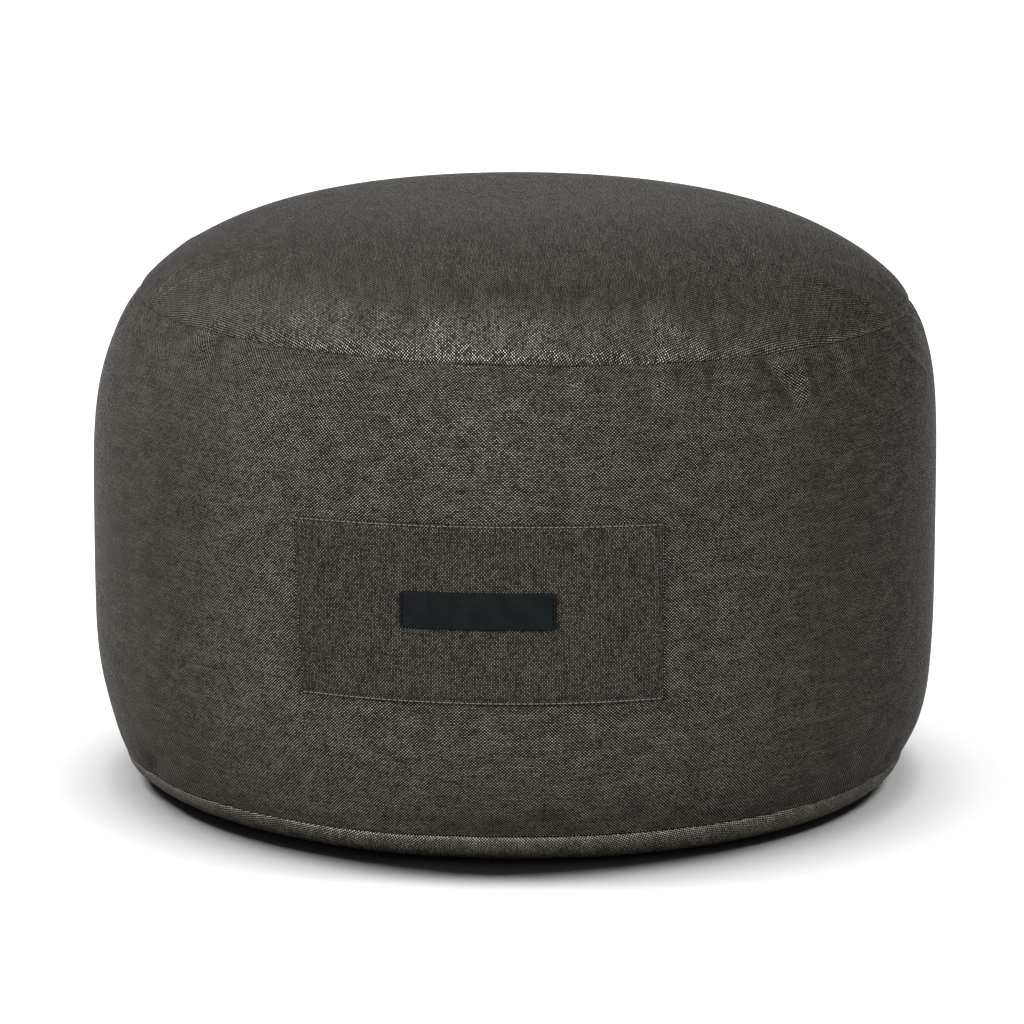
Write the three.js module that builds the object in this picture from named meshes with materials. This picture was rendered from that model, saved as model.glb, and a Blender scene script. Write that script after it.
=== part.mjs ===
// Round foam footstool: a filled body sewn from three cloth panels, with a sewn-on patch and its label.
// Millimetres, +Z up. The origin is on the floor under the middle of the base, and the patch faces -Y.
// A turn is an angle about Z in degrees, from the front (-Y) towards +X.
// A station is a distance along the body's outline from the top seam's mean line, up positive.
import * as THREE from 'three';

// The body's outline at its seams, widest place, crown and foot
const WIDEST = { radius: 250, height: 152 };
const CROWN_HEIGHT = 349;
const TOP_SEAM = { radius: 229, height: 286.8 };
const BASE_SEAM = { radius: 233, height: 19.2 };
const FOOT_RADIUS = 204;

// How round each stretch of the outline is
const CROWN_CURVE = { inward: 3.25, upward: 0.8 };
const BAND_FULLNESS = 4.2;
const TUCK_CURVE = { downward: 2, inward: 0.5 };

// The top seam runs a little uneven over the filling: once and twice round the body
const SEAM_WAVES = [
  { perRound: 1, sine: -4.2, cosine: 1.4 },
  { perRound: 2, sine: -0.2, cosine: -1.4 },
];

// The stuffing sits a little to one side at the shoulder and above the base
const LEANS = [
  { height: 288, reach: 50, shift: 3.4 },
  { height: 45, reach: 25, shift: 1.4 },
];

// The foot stands a little short of its circle at the front left, where the filling is slack
const FOOT_SLACK = { turn: -45, reach: 35, inward: 9 };

// Both seams draw the cloth in, and the panels roll into them
const SEAM_DRAW = 2.0;
const SEAM_ROLL = 4.5;
const SEAM_GAP = 0.3;

// Folds and gathers at the top seam, each along a path of [turn, distance above the seam]
const SHOULDER_FOLDS = [
  { rise: 2.4, width: 6, path: [[62, 31], [66, 20], [70.5, -2], [76, -24], [80.5, -36]] },
  { rise: 1.5, width: 6, path: [[67.8, 38], [70.8, 6]] },
  { rise: 3.0, width: 7, path: [[88, 48], [91, 28], [89, 3], [88.5, -12]] },
  { rise: -2.4, width: 7, path: [[97, 44], [97, 4]] },
  { rise: -3.0, width: 6, path: [[42.5, -6], [43.5, -27]] },
  { rise: 1.4, width: 6, path: [[47.5, -8], [46, -26]] },
  { rise: -1.5, width: 6, path: [[22, -6], [21.7, -18]] },
  { rise: -1.0, width: 6, path: [[22.7, 33], [21, 10]] },
  { rise: -1.2, width: 6, path: [[-9, -5], [-9, -13]] },
  { rise: -1.8, width: 6, path: [[-45, -3], [-42, -14]] },
  { rise: -1.5, width: 6, path: [[-57, -3], [-56, -12]] },
  { rise: 2.2, width: 6, path: [[-68.6, 30], [-67, 6], [-66.4, -16]] },
  { rise: 1.6, width: 6, path: [[-60.8, 38], [-64.8, 10]] },
  { rise: -2.0, width: 7, path: [[-78, 26], [-77, -14]] },
  { rise: 2.0, width: 7, path: [[-98, 34], [-95, 2], [-93, -18]] },
  { rise: -2.2, width: 7, path: [[-121, -4], [-123, -26]] },
  { rise: 1.8, width: 7, path: [[-147, 36], [-143, 3], [-145, -14]] },
  { rise: -2.0, width: 7, path: [[-168, -4], [-170, -20]] },
  { rise: 2.2, width: 7, path: [[166, 40], [170, 4], [172, -20]] },
  { rise: -2.4, width: 7, path: [[149, -5], [147, -27]] },
  { rise: 1.6, width: 7, path: [[128, 30], [131, 4]] },
  { rise: -1.8, width: 7, path: [[113, -3], [115, -18]] },
];

// Dents and tucks at the base seam, each along a path of [turn, distance above the seam]
const HEM_FOLDS = [
  { rise: -1.8, width: 24, path: [[-62, -12], [-30, -12]] },
  { rise: -2.6, width: 8, path: [[-60, 4], [-57, 13]] },
  { rise: 1.6, width: 7, path: [[-66, 18], [-58, 20]] },
  { rise: -1.8, width: 8, path: [[68, 3], [70, 12]] },
  { rise: -2.0, width: 8, path: [[104, 3], [103, 15]] },
  { rise: -2.2, width: 8, path: [[151, 3], [153, 14]] },
  { rise: -1.8, width: 8, path: [[-159, 3], [-158, 12]] },
  { rise: -2.2, width: 8, path: [[-112, 3], [-110, 15]] },
];

// The patch lies on the front of the band. Its left edge was sewn a little out of square.
const PATCH = {
  thickness: 2.0,
  edgeThickness: 1.1,
  hem: 3,
  right: 103.8,
  leftAtTop: -107.8,
  leftAtBottom: -102.5,
  top: 200.2,
  topBow: 1.2,
  bottom: 100,
  columns: 22,
  rows: 8,
};
const LABEL = {
  thickness: 1.4,
  edgeThickness: 0.9,
  hem: 1.2,
  right: 43,
  leftAtTop: -43,
  leftAtBottom: -43,
  top: 163.4,
  topBow: 0,
  bottom: 142.9,
  columns: 10,
  rows: 2,
};
const LAY_GAP = 0.3;

// How finely the skins are divided
const TURN_STEP = 2.5;
const TURN_LEAST = 0.8;
const CROWN_DISTANCES = [0, 3, 7, 13, 21, 31, 44, 62];
const CROWN_MIDDLE_RINGS = [
  { distance: 95, turnStep: 4.5 },
  { distance: 145, turnStep: 9 },
  { distance: 200, turnStep: 18 },
];
const BAND_DISTANCES = [0, 3, 7, 13, 20, 29, 42, 62, 92, 132, 172];
const HEM_DISTANCES = [62, 40, 26, 17, 11, 6, 2.5, 0];
const BASE_SHARES = [0, 0.25, 0.5, 0.8, 1];
const LINE_STEPS = 160;

// Colours and gloss
const CLOTH_COLOUR = 0x4e4b46;
const PATCH_COLOUR = 0x423f3a;
const LABEL_COLOUR = 0x202424;
const CLOTH_ROUGHNESS = 0.95;
const LABEL_ROUGHNESS = 0.5;

// Even shares from 0 to 1, with both ends.
function evenShares(steps) {
  return Array.from({ length: steps + 1 }, (_, i) => i / steps);
}

// The crown's outline, by the share of the way from its middle out to the top seam.
function crownOutline(share) {
  const lift = (1 - share ** CROWN_CURVE.inward) ** CROWN_CURVE.upward;
  return {
    radius: TOP_SEAM.radius * share,
    height: TOP_SEAM.height + (CROWN_HEIGHT - TOP_SEAM.height) * lift,
  };
}

// The band's outline, by the share of the way from the top seam down to the base seam.
function bandOutline(share) {
  const level = 1 - 2 * share;
  const seam = level > 0 ? TOP_SEAM : BASE_SEAM;
  const away = Math.abs(level);
  return {
    radius: WIDEST.radius - (WIDEST.radius - seam.radius) * away ** BAND_FULLNESS,
    height: WIDEST.height + (seam.height - WIDEST.height) * away,
  };
}

// The base panel's outline, by the share of the way from the base seam down to the foot.
function baseOutline(share) {
  const kept = (1 - share ** TUCK_CURVE.downward) ** TUCK_CURVE.inward;
  return {
    radius: FOOT_RADIUS + (BASE_SEAM.radius - FOOT_RADIUS) * kept,
    height: BASE_SEAM.height * (1 - share),
  };
}

// The whole outline from the crown's middle to the foot, as places with their stations.
function bodyOutline() {
  const shares = evenShares(LINE_STEPS);
  const places = [
    ...shares.map(crownOutline),
    ...shares.slice(1).map(bandOutline),
    ...shares.slice(1).map(baseOutline),
  ];
  let length = 0;
  places.forEach((place, i) => {
    if (i > 0) {
      length += Math.hypot(place.radius - places[i - 1].radius, place.height - places[i - 1].height);
    }
    place.length = length;
  });
  const seamLength = places[LINE_STEPS].length;
  return places.map((place) => ({ ...place, station: seamLength - place.length }));
}

const OUTLINE = bodyOutline();
const BASE_SEAM_STATION = OUTLINE[2 * LINE_STEPS].station;
const FOOT_STATION = OUTLINE[OUTLINE.length - 1].station;

// The place on the outline at a station, with the direction along it, downward.
function placeAt(station) {
  const found = OUTLINE.findIndex((place) => place.station <= station);
  const i = THREE.MathUtils.clamp(found < 0 ? OUTLINE.length - 1 : found, 1, OUTLINE.length - 1);
  const from = OUTLINE[i - 1];
  const to = OUTLINE[i];
  const span = from.station - to.station;
  const share = THREE.MathUtils.clamp((from.station - station) / span, 0, 1);
  return {
    radius: THREE.MathUtils.lerp(from.radius, to.radius, share),
    height: THREE.MathUtils.lerp(from.height, to.height, share),
    down: { radius: (to.radius - from.radius) / span, height: (to.height - from.height) / span },
  };
}

// The station of a height on the band.
function stationAtHeight(height) {
  const i = OUTLINE.findIndex((place) => place.height <= height);
  const from = OUTLINE[i - 1];
  const to = OUTLINE[i];
  return THREE.MathUtils.mapLinear(height, from.height, to.height, from.station, to.station);
}

// The station of the top seam at a turn.
function topSeamStation(turn) {
  const angle = THREE.MathUtils.degToRad(turn);
  return SEAM_WAVES.reduce(
    (station, wave) => station
      + wave.sine * Math.sin(wave.perRound * angle)
      + wave.cosine * Math.cos(wave.perRound * angle),
    0,
  );
}

// How far turn a lies past turn b, between -180 and 180.
function turnBetween(a, b) {
  return THREE.MathUtils.euclideanModulo(a - b + 180, 360) - 180;
}

// How far the folds raise the cloth at a turn and a distance above their seam, on a wall of a radius.
function foldRise(folds, turn, above, radius) {
  const perDegree = THREE.MathUtils.degToRad(1) * radius;
  let rise = 0;
  for (const fold of folds) {
    let nearest = Infinity;
    for (let i = 1; i < fold.path.length; i += 1) {
      const [startTurn, startAbove] = fold.path[i - 1];
      const [endTurn, endAbove] = fold.path[i];
      const along = { x: turnBetween(endTurn, startTurn) * perDegree, y: endAbove - startAbove };
      const here = { x: turnBetween(turn, startTurn) * perDegree, y: above - startAbove };
      const share = (here.x * along.x + here.y * along.y) / (along.x ** 2 + along.y ** 2);
      const held = THREE.MathUtils.clamp(share, 0, 1);
      nearest = Math.min(nearest, Math.hypot(here.x - held * along.x, here.y - held * along.y));
    }
    rise += fold.rise * Math.exp(-((nearest / fold.width) ** 2));
  }
  return rise;
}

// How far a seam draws in the cloth at a distance from it.
function seamDraw(distance) {
  return -SEAM_DRAW * Math.exp(-((distance / SEAM_ROLL) ** 2));
}

// The point of the body at a turn, from a place on its outline and a rise out of it.
function bodyPoint(turn, place, rise) {
  const angle = THREE.MathUtils.degToRad(turn);
  const radius = place.radius - rise * place.down.height;
  const height = place.height + rise * place.down.radius;
  const lean = LEANS.reduce(
    (shift, bell) => shift + bell.shift * Math.exp(-(((height - bell.height) / bell.reach) ** 2)),
    0,
  );
  return new THREE.Vector3(radius * Math.sin(angle) + lean, -radius * Math.cos(angle), height);
}

// How far the foot stands inside its circle at a turn.
function footSlack(turn) {
  const away = turnBetween(turn, FOOT_SLACK.turn) / FOOT_SLACK.reach;
  return FOOT_SLACK.inward * Math.exp(-(away ** 2));
}

// The cloth at a turn and station, drawn in at both seams and raised by its folds. The foot stays level.
function clothPoint(turn, station) {
  const place = placeAt(station);
  const aboveTop = station - topSeamStation(turn);
  const aboveBase = station - BASE_SEAM_STATION;
  const onFoot = THREE.MathUtils.clamp(aboveBase / (FOOT_STATION - BASE_SEAM_STATION), 0, 1);
  const rise = seamDraw(aboveTop)
    + seamDraw(aboveBase)
    + foldRise(SHOULDER_FOLDS, turn, aboveTop, place.radius)
    + foldRise(HEM_FOLDS, turn, aboveBase, place.radius);
  place.radius -= onFoot * footSlack(turn);
  place.down.radius *= 1 - onFoot;
  return bodyPoint(turn, place, rise);
}

// Even turns all the way round.
function evenTurns(step) {
  return Array.from({ length: Math.round(360 / step) }, (_, i) => -180 + i * step);
}

// The turns of a ring: even steps, and one at each fold that is not there already.
function ringTurns() {
  const turns = evenTurns(TURN_STEP);
  for (const fold of [...SHOULDER_FOLDS, ...HEM_FOLDS]) {
    const middle = fold.path.reduce((sum, [turn]) => sum + turn, 0) / fold.path.length;
    const nearest = Math.min(...turns.map((turn) => Math.abs(turnBetween(turn, middle))));
    if (nearest > TURN_LEAST) {
      turns.push(middle);
    }
  }
  return turns.sort((a, b) => a - b);
}

// A closed skin that grows ring by ring.
class Skin {
  constructor() {
    this.points = [];
    this.faces = [];
  }

  addPoint(point) {
    this.points.push(point);
    return this.points.length - 1;
  }

  // A ring of points at its turns, each with the point's place in the skin.
  addRing(turns, pointAt) {
    return turns.map((turn) => ({ turn, index: this.addPoint(pointAt(turn)) }));
  }

  // Joins a ring to the next one down the body, whatever number of points each has.
  joinRings(first, second) {
    let a = 0;
    let b = 0;
    const turnAt = (ring, i) => ring[i % ring.length].turn + (i >= ring.length ? 360 : 0);
    while (a < first.length || b < second.length) {
      const i = first[a % first.length].index;
      const j = second[b % second.length].index;
      const stepFirst = b >= second.length
        || (a < first.length && turnAt(first, a + 1) <= turnAt(second, b + 1));
      if (stepFirst) {
        this.faces.push([i, j, first[(a + 1) % first.length].index]);
        a += 1;
      } else {
        this.faces.push([i, j, second[(b + 1) % second.length].index]);
        b += 1;
      }
    }
  }

  // Closes a ring to one point. The fan's outside faces up or down.
  closeRing(ring, point, outside) {
    const tip = this.addPoint(point);
    for (let i = 0; i < ring.length; i += 1) {
      const here = ring[i].index;
      const next = ring[(i + 1) % ring.length].index;
      this.faces.push(outside === 'up' ? [here, next, tip] : [here, tip, next]);
    }
  }

  // Joins the rings in order.
  joinAll(rings) {
    for (let i = 1; i < rings.length; i += 1) {
      this.joinRings(rings[i - 1], rings[i]);
    }
  }

  geometry() {
    const geometry = new THREE.BufferGeometry();
    const positions = this.points.flatMap((point) => [point.x, point.y, point.z]);
    geometry.setAttribute('position', new THREE.Float32BufferAttribute(positions, 3));
    geometry.setIndex(this.faces.flat());
    geometry.computeVertexNormals();
    return geometry;
  }
}

// The middle of the plane across the top seam.
function topSeamMiddle(offset) {
  return new THREE.Vector3(0, 0, TOP_SEAM.height + offset);
}

// The middle of the plane across the base seam.
function baseSeamMiddle(offset) {
  return new THREE.Vector3(0, 0, BASE_SEAM.height + offset);
}

// A point moved along Z.
function lifted(point, offset) {
  return point.clone().setZ(point.z + offset);
}

// The filled crown, from its seam up to the middle, closed across the seam.
function crownGeometry(turns) {
  const skin = new Skin();
  const rings = CROWN_DISTANCES.map((distance) => skin.addRing(turns, (turn) => {
    const point = clothPoint(turn, topSeamStation(turn) + distance);
    return distance === 0 ? lifted(point, SEAM_GAP / 2) : point;
  }));
  for (const { distance, turnStep } of CROWN_MIDDLE_RINGS) {
    const sparse = evenTurns(turnStep);
    rings.push(skin.addRing(sparse, (turn) => clothPoint(turn, topSeamStation(turn) + distance)));
  }
  skin.joinAll([...rings].reverse());
  skin.closeRing(rings[rings.length - 1], new THREE.Vector3(0, 0, CROWN_HEIGHT), 'up');
  skin.closeRing(rings[0], topSeamMiddle(SEAM_GAP / 2), 'down');
  return skin.geometry();
}

// The filled band between the two seams, closed across both.
function bandGeometry(turns) {
  const skin = new Skin();
  const fromTop = BAND_DISTANCES.map((distance) => skin.addRing(turns, (turn) => {
    const point = clothPoint(turn, topSeamStation(turn) - distance);
    return distance === 0 ? lifted(point, -SEAM_GAP / 2) : point;
  }));
  const fromBase = HEM_DISTANCES.map((distance) => skin.addRing(turns, (turn) => {
    const point = clothPoint(turn, BASE_SEAM_STATION + distance);
    return distance === 0 ? lifted(point, SEAM_GAP / 2) : point;
  }));
  const rings = [...fromTop, ...fromBase];
  skin.joinAll(rings);
  skin.closeRing(rings[0], topSeamMiddle(-SEAM_GAP / 2), 'up');
  skin.closeRing(rings[rings.length - 1], baseSeamMiddle(SEAM_GAP / 2), 'down');
  return skin.geometry();
}

// The filled underside, from the base seam to the flat foot.
function baseGeometry(turns) {
  const skin = new Skin();
  const rings = BASE_SHARES.map((share) => skin.addRing(turns, (turn) => {
    const station = THREE.MathUtils.lerp(BASE_SEAM_STATION, FOOT_STATION, share);
    const point = clothPoint(turn, station);
    return share === 0 ? lifted(point, -SEAM_GAP / 2) : point;
  }));
  skin.joinAll(rings);
  skin.closeRing(rings[0], baseSeamMiddle(-SEAM_GAP / 2), 'up');
  skin.closeRing(rings[rings.length - 1], new THREE.Vector3(0, 0, 0), 'down');
  return skin.geometry();
}

// Places from start to end in even steps, with one more just inside each end for the hem.
function hemmedSteps(start, end, hem, steps) {
  const inner = Array.from(
    { length: steps + 1 },
    (_, i) => THREE.MathUtils.lerp(start + hem, end - hem, i / steps),
  );
  return [start, ...inner, end];
}

// A sheet sewn on the band, curved with it and thinner at its edges.
function sheetGeometry(sheet, lay) {
  const skin = new Skin();
  const heights = hemmedSteps(sheet.bottom, sheet.top, sheet.hem, sheet.rows);
  const shares = hemmedSteps(0, 1, sheet.hem / (sheet.right - sheet.leftAtTop), sheet.columns);
  const pointAt = (row, column, proud) => {
    const rowShare = (heights[row] - sheet.bottom) / (sheet.top - sheet.bottom);
    const left = THREE.MathUtils.lerp(sheet.leftAtBottom, sheet.leftAtTop, rowShare);
    const across = THREE.MathUtils.lerp(left, sheet.right, shares[column]);
    const turn = THREE.MathUtils.radToDeg(across / WIDEST.radius);
    const bow = sheet.topBow * rowShare * (1 - (2 * shares[column] - 1) ** 2);
    const height = heights[row] + bow;
    return bodyPoint(turn, placeAt(stationAtHeight(height)), proud);
  };
  const lastRow = heights.length - 1;
  const lastColumn = shares.length - 1;
  const atEdge = (row, column) => row === 0 || row === lastRow || column === 0 || column === lastColumn;
  const layer = (proudAt) => heights.map((_, row) => shares.map(
    (__, column) => skin.addPoint(pointAt(row, column, proudAt(row, column))),
  ));
  const inner = layer(() => lay);
  const outer = layer((row, column) => lay + (atEdge(row, column) ? sheet.edgeThickness : sheet.thickness));
  const quad = (a, b, c, d) => skin.faces.push([a, b, c], [a, c, d]);
  for (let row = 0; row < lastRow; row += 1) {
    for (let column = 0; column < lastColumn; column += 1) {
      quad(outer[row][column], outer[row][column + 1], outer[row + 1][column + 1], outer[row + 1][column]);
      quad(inner[row][column], inner[row + 1][column], inner[row + 1][column + 1], inner[row][column + 1]);
    }
  }
  for (let column = 0; column < lastColumn; column += 1) {
    const next = column + 1;
    quad(inner[0][column], inner[0][next], outer[0][next], outer[0][column]);
    quad(outer[lastRow][column], outer[lastRow][next], inner[lastRow][next], inner[lastRow][column]);
  }
  for (let row = 0; row < lastRow; row += 1) {
    const next = row + 1;
    quad(outer[row][0], outer[next][0], inner[next][0], inner[row][0]);
    quad(inner[row][lastColumn], inner[next][lastColumn], outer[next][lastColumn], outer[row][lastColumn]);
  }
  return skin.geometry();
}

// A named piece in its own cloth or leather.
function piece(name, geometry, colour, roughness) {
  const material = new THREE.MeshStandardMaterial({ color: colour, roughness, metalness: 0 });
  const mesh = new THREE.Mesh(geometry, material);
  mesh.name = name;
  return mesh;
}

const turns = ringTurns();
const patchLay = LAY_GAP;
const labelLay = patchLay + PATCH.thickness + LAY_GAP;

const footstool = new THREE.Group();
footstool.add(
  piece('top_panel', crownGeometry(turns), CLOTH_COLOUR, CLOTH_ROUGHNESS),
  piece('side_band', bandGeometry(turns), CLOTH_COLOUR, CLOTH_ROUGHNESS),
  piece('base_panel', baseGeometry(turns), CLOTH_COLOUR, CLOTH_ROUGHNESS),
  piece('front_patch', sheetGeometry(PATCH, patchLay), PATCH_COLOUR, CLOTH_ROUGHNESS),
  piece('front_label', sheetGeometry(LABEL, labelLay), LABEL_COLOUR, LABEL_ROUGHNESS),
);

export default footstool;
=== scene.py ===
"""The looks of a round foam footstool: three sewn cloth panels over a filling, a patch and a bare label.

Metres, in the part's own frame: +Z up, the origin under the middle of the base, the patch facing -Y.
A turn is an angle about Z, from the front (-Y) towards +X. A station is a length along the body's outline
from the top seam's mean line, up positive.
"""

import logging
import math
from dataclasses import dataclass
from enum import Enum
from typing import NamedTuple

import bpy
import numpy as np
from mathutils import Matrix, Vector


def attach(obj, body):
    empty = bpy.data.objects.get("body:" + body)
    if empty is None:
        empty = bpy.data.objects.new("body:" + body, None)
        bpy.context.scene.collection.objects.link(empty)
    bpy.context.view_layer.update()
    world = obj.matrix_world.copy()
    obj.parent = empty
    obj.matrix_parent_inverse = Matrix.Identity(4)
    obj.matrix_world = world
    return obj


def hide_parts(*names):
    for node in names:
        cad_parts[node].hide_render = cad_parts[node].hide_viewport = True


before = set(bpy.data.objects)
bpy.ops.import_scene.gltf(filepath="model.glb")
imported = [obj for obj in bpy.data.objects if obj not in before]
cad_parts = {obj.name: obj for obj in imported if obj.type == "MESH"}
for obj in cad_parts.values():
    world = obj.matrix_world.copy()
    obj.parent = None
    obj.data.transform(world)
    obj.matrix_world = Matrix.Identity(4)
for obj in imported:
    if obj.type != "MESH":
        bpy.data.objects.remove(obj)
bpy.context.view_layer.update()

MM = 0.001
Colour = tuple[float, float, float]
Array = np.ndarray
log = logging.getLogger("footstool")


class Edge(Enum):
    """How a fold's crest is shaped."""

    SOFT = "soft"
    CREASED = "creased"


class Side(Enum):
    """A side of a sewn sheet."""

    TOP = "top"
    BOTTOM = "bottom"
    LEFT = "left"
    RIGHT = "right"


@dataclass(frozen=True)
class Fold:
    """A fold or dent in the cloth, in millimetres, along (turn in degrees, distance above its seam)."""

    rise: float
    width: float
    path: tuple[tuple[float, float], ...]
    edge: Edge = Edge.SOFT


# The folds over the shoulders and the larger dents under the top seam
SHOULDER_FOLDS = (
    Fold(1.5, 4.5, ((60, 34), (65, 21), (70.5, -2))),
    Fold(0.5, 2, ((56, 2), (68, 1.6), (84, 1.2)), Edge.CREASED),
    Fold(1.1, 4.5, ((70.5, -2), (76, -24), (80.5, -36)), Edge.CREASED),
    Fold(1.3, 4, ((62, 42), (66.5, 28), (71.5, 8))),
    Fold(-0.8, 3.5, ((62.5, 36), (66, 24), (70.5, 6))),
    Fold(0.4, 4, ((75, 50), (79, 38), (80.6, 24), (82, 8), (84, -3), (90, -16)), Edge.CREASED),
    Fold(-3.8, 7.2, ((41.6, -8), (42.9, -16), (44.1, -25))),
    Fold(1.9, 5.0, ((47.0, -10), (46.8, -23))),
    Fold(-1.6, 6, ((22.4, -6), (21.7, -22))),
    Fold(-0.8, 6, ((22.7, 33), (21, 10))),
    Fold(-1.4, 6, ((-9, -5), (-9, -15))),
    Fold(-1.9, 6, ((-44.6, -3), (-43, -15))),
    Fold(-1.5, 6, ((-57, -3), (-56, -14))),
    Fold(1.6, 6, ((-68.6, 30), (-67, 6), (-66.4, -16)), Edge.CREASED),
    Fold(1.2, 6, ((-60.8, 38), (-64.8, 10)), Edge.CREASED),
    Fold(-0.9, 7, ((-78, 26), (-77, -14))),
    Fold(0.8, 7, ((-98, 34), (-95, 2), (-93, -18)), Edge.CREASED),
    Fold(-2.0, 7, ((-121, -4), (-123, -26))),
    Fold(1.6, 7, ((-147, 36), (-143, 3), (-145, -14)), Edge.CREASED),
    Fold(-1.7, 7, ((-168, -4), (-170, -20))),
    Fold(1.8, 7, ((166, 40), (170, 4), (172, -20)), Edge.CREASED),
    Fold(-2.0, 7, ((149, -5), (147, -27))),
    Fold(1.4, 7, ((128, 30), (131, 4)), Edge.CREASED),
    Fold(-1.5, 7, ((113, -3), (115, -18))),
)

# The dents and tucks at the base seam
HEM_FOLDS = (
    Fold(-1.8, 24, ((-62, -12), (-30, -12))),
    Fold(-2.6, 8, ((-60, 4), (-57, 13))),
    Fold(1.6, 7, ((-66, 18), (-58, 20))),
    Fold(-1.8, 8, ((68, 3), (70, 12))),
    Fold(-2.0, 8, ((104, 3), (103, 15))),
    Fold(-2.2, 8, ((151, 3), (153, 14))),
    Fold(-1.8, 8, ((-159, 3), (-158, 12))),
    Fold(-2.2, 8, ((-112, 3), (-110, 15))),
)

# The smaller dents and puffs along the top seam, and what their rise is multiplied by
SEAM_DENT_SHARE = 1.4
SEAM_DENTS = (
    Fold(1.0, 5, ((-48.5, -2), (-47.5, -10))),
    Fold(0.9, 5, ((-38.6, -1), (-37.6, -9))),
    Fold(-0.8, 5, ((-32, -2), (-32, -8))),
    Fold(-0.7, 5, ((-23.6, -2), (-23.8, -8))),
    Fold(0.9, 5, ((-21.2, -5), (-20.9, -15))),
    Fold(-0.8, 5, ((-15, -3), (-15, -11))),
    Fold(0.8, 4, ((-12.3, -4), (-12, -12))),
    Fold(0.6, 4, ((-6.3, -4), (-6.3, -10))),
    Fold(-0.8, 5, ((-3.3, -4), (-3.2, -14))),
    Fold(0.6, 4, ((-0.2, -3), (0, -8))),
    Fold(-0.9, 5, ((3.9, -3), (3.8, -12))),
    Fold(-0.6, 5, ((10.7, -3), (10.5, -7))),
    Fold(0.6, 4, ((18.9, -5), (18.6, -12))),
    Fold(1.0, 5, ((25.6, -2), (25.1, -12))),
    Fold(-0.8, 5, ((32.4, -3), (31.6, -14))),
    Fold(0.9, 6, ((38.1, -3), (36.8, -19))),
    Fold(-0.7, 5, ((53.8, -7), (52.9, -19))),
    Fold(0.8, 5, ((57.2, -8), (56.2, -19))),
    Fold(-1.4, 7, ((24.5, 40), (23, 6))),
    Fold(-0.8, 8, ((-12, 34), (-8, 8))),
    Fold(0.8, 8, ((-22, 30), (-20, 8))),
    Fold(0.7, 9, ((9, 30), (8, 8))),
    Fold(-0.9, 8, ((36, 36), (34, 8))),
)


@dataclass(frozen=True)
class SeamRoll:
    """How cloth rolls over a sewn seam: a puffed rim on one side of it, a tucked strip on the other."""

    seed: int
    rim: float
    rim_at: float
    rim_reach: float
    tuck: float
    tuck_at: float
    tuck_reach: float
    unevenness: float = 0.35
    ripple: float = 0.33
    ripples: range = range(5, 60, 3)
    side_share: float = 0.2

    def rise(self, turn: Array, above: Array) -> Array:
        """The roll's rise, uneven round the body.

        Args:
            turn: turns in degrees.
            above: distances above the seam, in metres.

        Returns:
            The rise in metres.
        """
        rng = np.random.default_rng(self.seed)
        angle = np.radians(turn)
        uneven = np.ones_like(angle)
        for times in self.ripples:
            phase = rng.uniform(0, 2 * math.pi)
            uneven = uneven + self.unevenness * self.ripple * np.sin(times * angle + phase)
        uneven = uneven * (self.side_share + (1 - self.side_share) * np.cos(angle) ** 2)
        rim = self.rim * bell(above - self.rim_at, self.rim_reach)
        tuck = self.tuck * bell(above - self.tuck_at, self.tuck_reach)
        return (rim - tuck) * uneven


TOP_ROLL = SeamRoll(
    seed=5,
    rim=0.5 * MM,
    rim_at=7 * MM,
    rim_reach=7 * MM,
    tuck=1.3 * MM,
    tuck_at=-3.8 * MM,
    tuck_reach=3.6 * MM,
)
BASE_ROLL = SeamRoll(
    seed=7,
    rim=0.3 * MM,
    rim_at=-6 * MM,
    rim_reach=5 * MM,
    tuck=0.6 * MM,
    tuck_at=9 * MM,
    tuck_reach=8 * MM,
)


@dataclass(frozen=True)
class BodySizes:
    """The filled body's sizes in metres, its slack in degrees, and the powers that shape its outline."""

    widest_radius: float = 0.250
    widest_height: float = 0.152
    crown_height: float = 0.349
    top_seam_radius: float = 0.229
    top_seam_height: float = 0.2868
    base_seam_radius: float = 0.233
    base_seam_height: float = 0.0192
    foot_radius: float = 0.204
    crown_inward: float = 3.25
    crown_upward: float = 0.8
    band_fullness: float = 4.2
    tuck_downward: float = 2.0
    tuck_inward: float = 0.5
    seam_draw: float = 0.9 * MM
    seam_roll: float = 3.0 * MM
    base_seam_draw: float = 0.1 * MM
    seam_gap: float = 0.12 * MM
    slack_turn: float = -45.0
    slack_reach: float = 35.0
    slack_inward: float = 9 * MM


# How often round the body the top seam waves, with its sine and cosine parts
SEAM_WAVES = ((1, -4.2 * MM, 1.4 * MM), (2, -0.2 * MM, -1.4 * MM))

# The stuffing's lean to +X: the height of its middle, its reach and its shift
LEANS = ((0.288, 0.050, 3.4 * MM), (0.045, 0.025, 1.4 * MM))

# How narrow a creased fold's crest is, as a share of the fold's width
CREST_SHARE = 0.28

# How far the highlight painted along a crease reaches on each side, and the rise in mm that paints it fully
# light
CREASE_REACH = 1.5 * MM
CREASE_FULL = 0.4


def turn_between(a: Array, b: float) -> Array:
    """How far turns a lie past turn b, in degrees between -180 and 180."""
    return (a - b + 180.0) % 360.0 - 180.0


def bell(distance: Array, reach: float) -> Array:
    """A soft bell of height 1 round a distance of nought."""
    return np.exp(-((distance / reach) ** 2))


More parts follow.
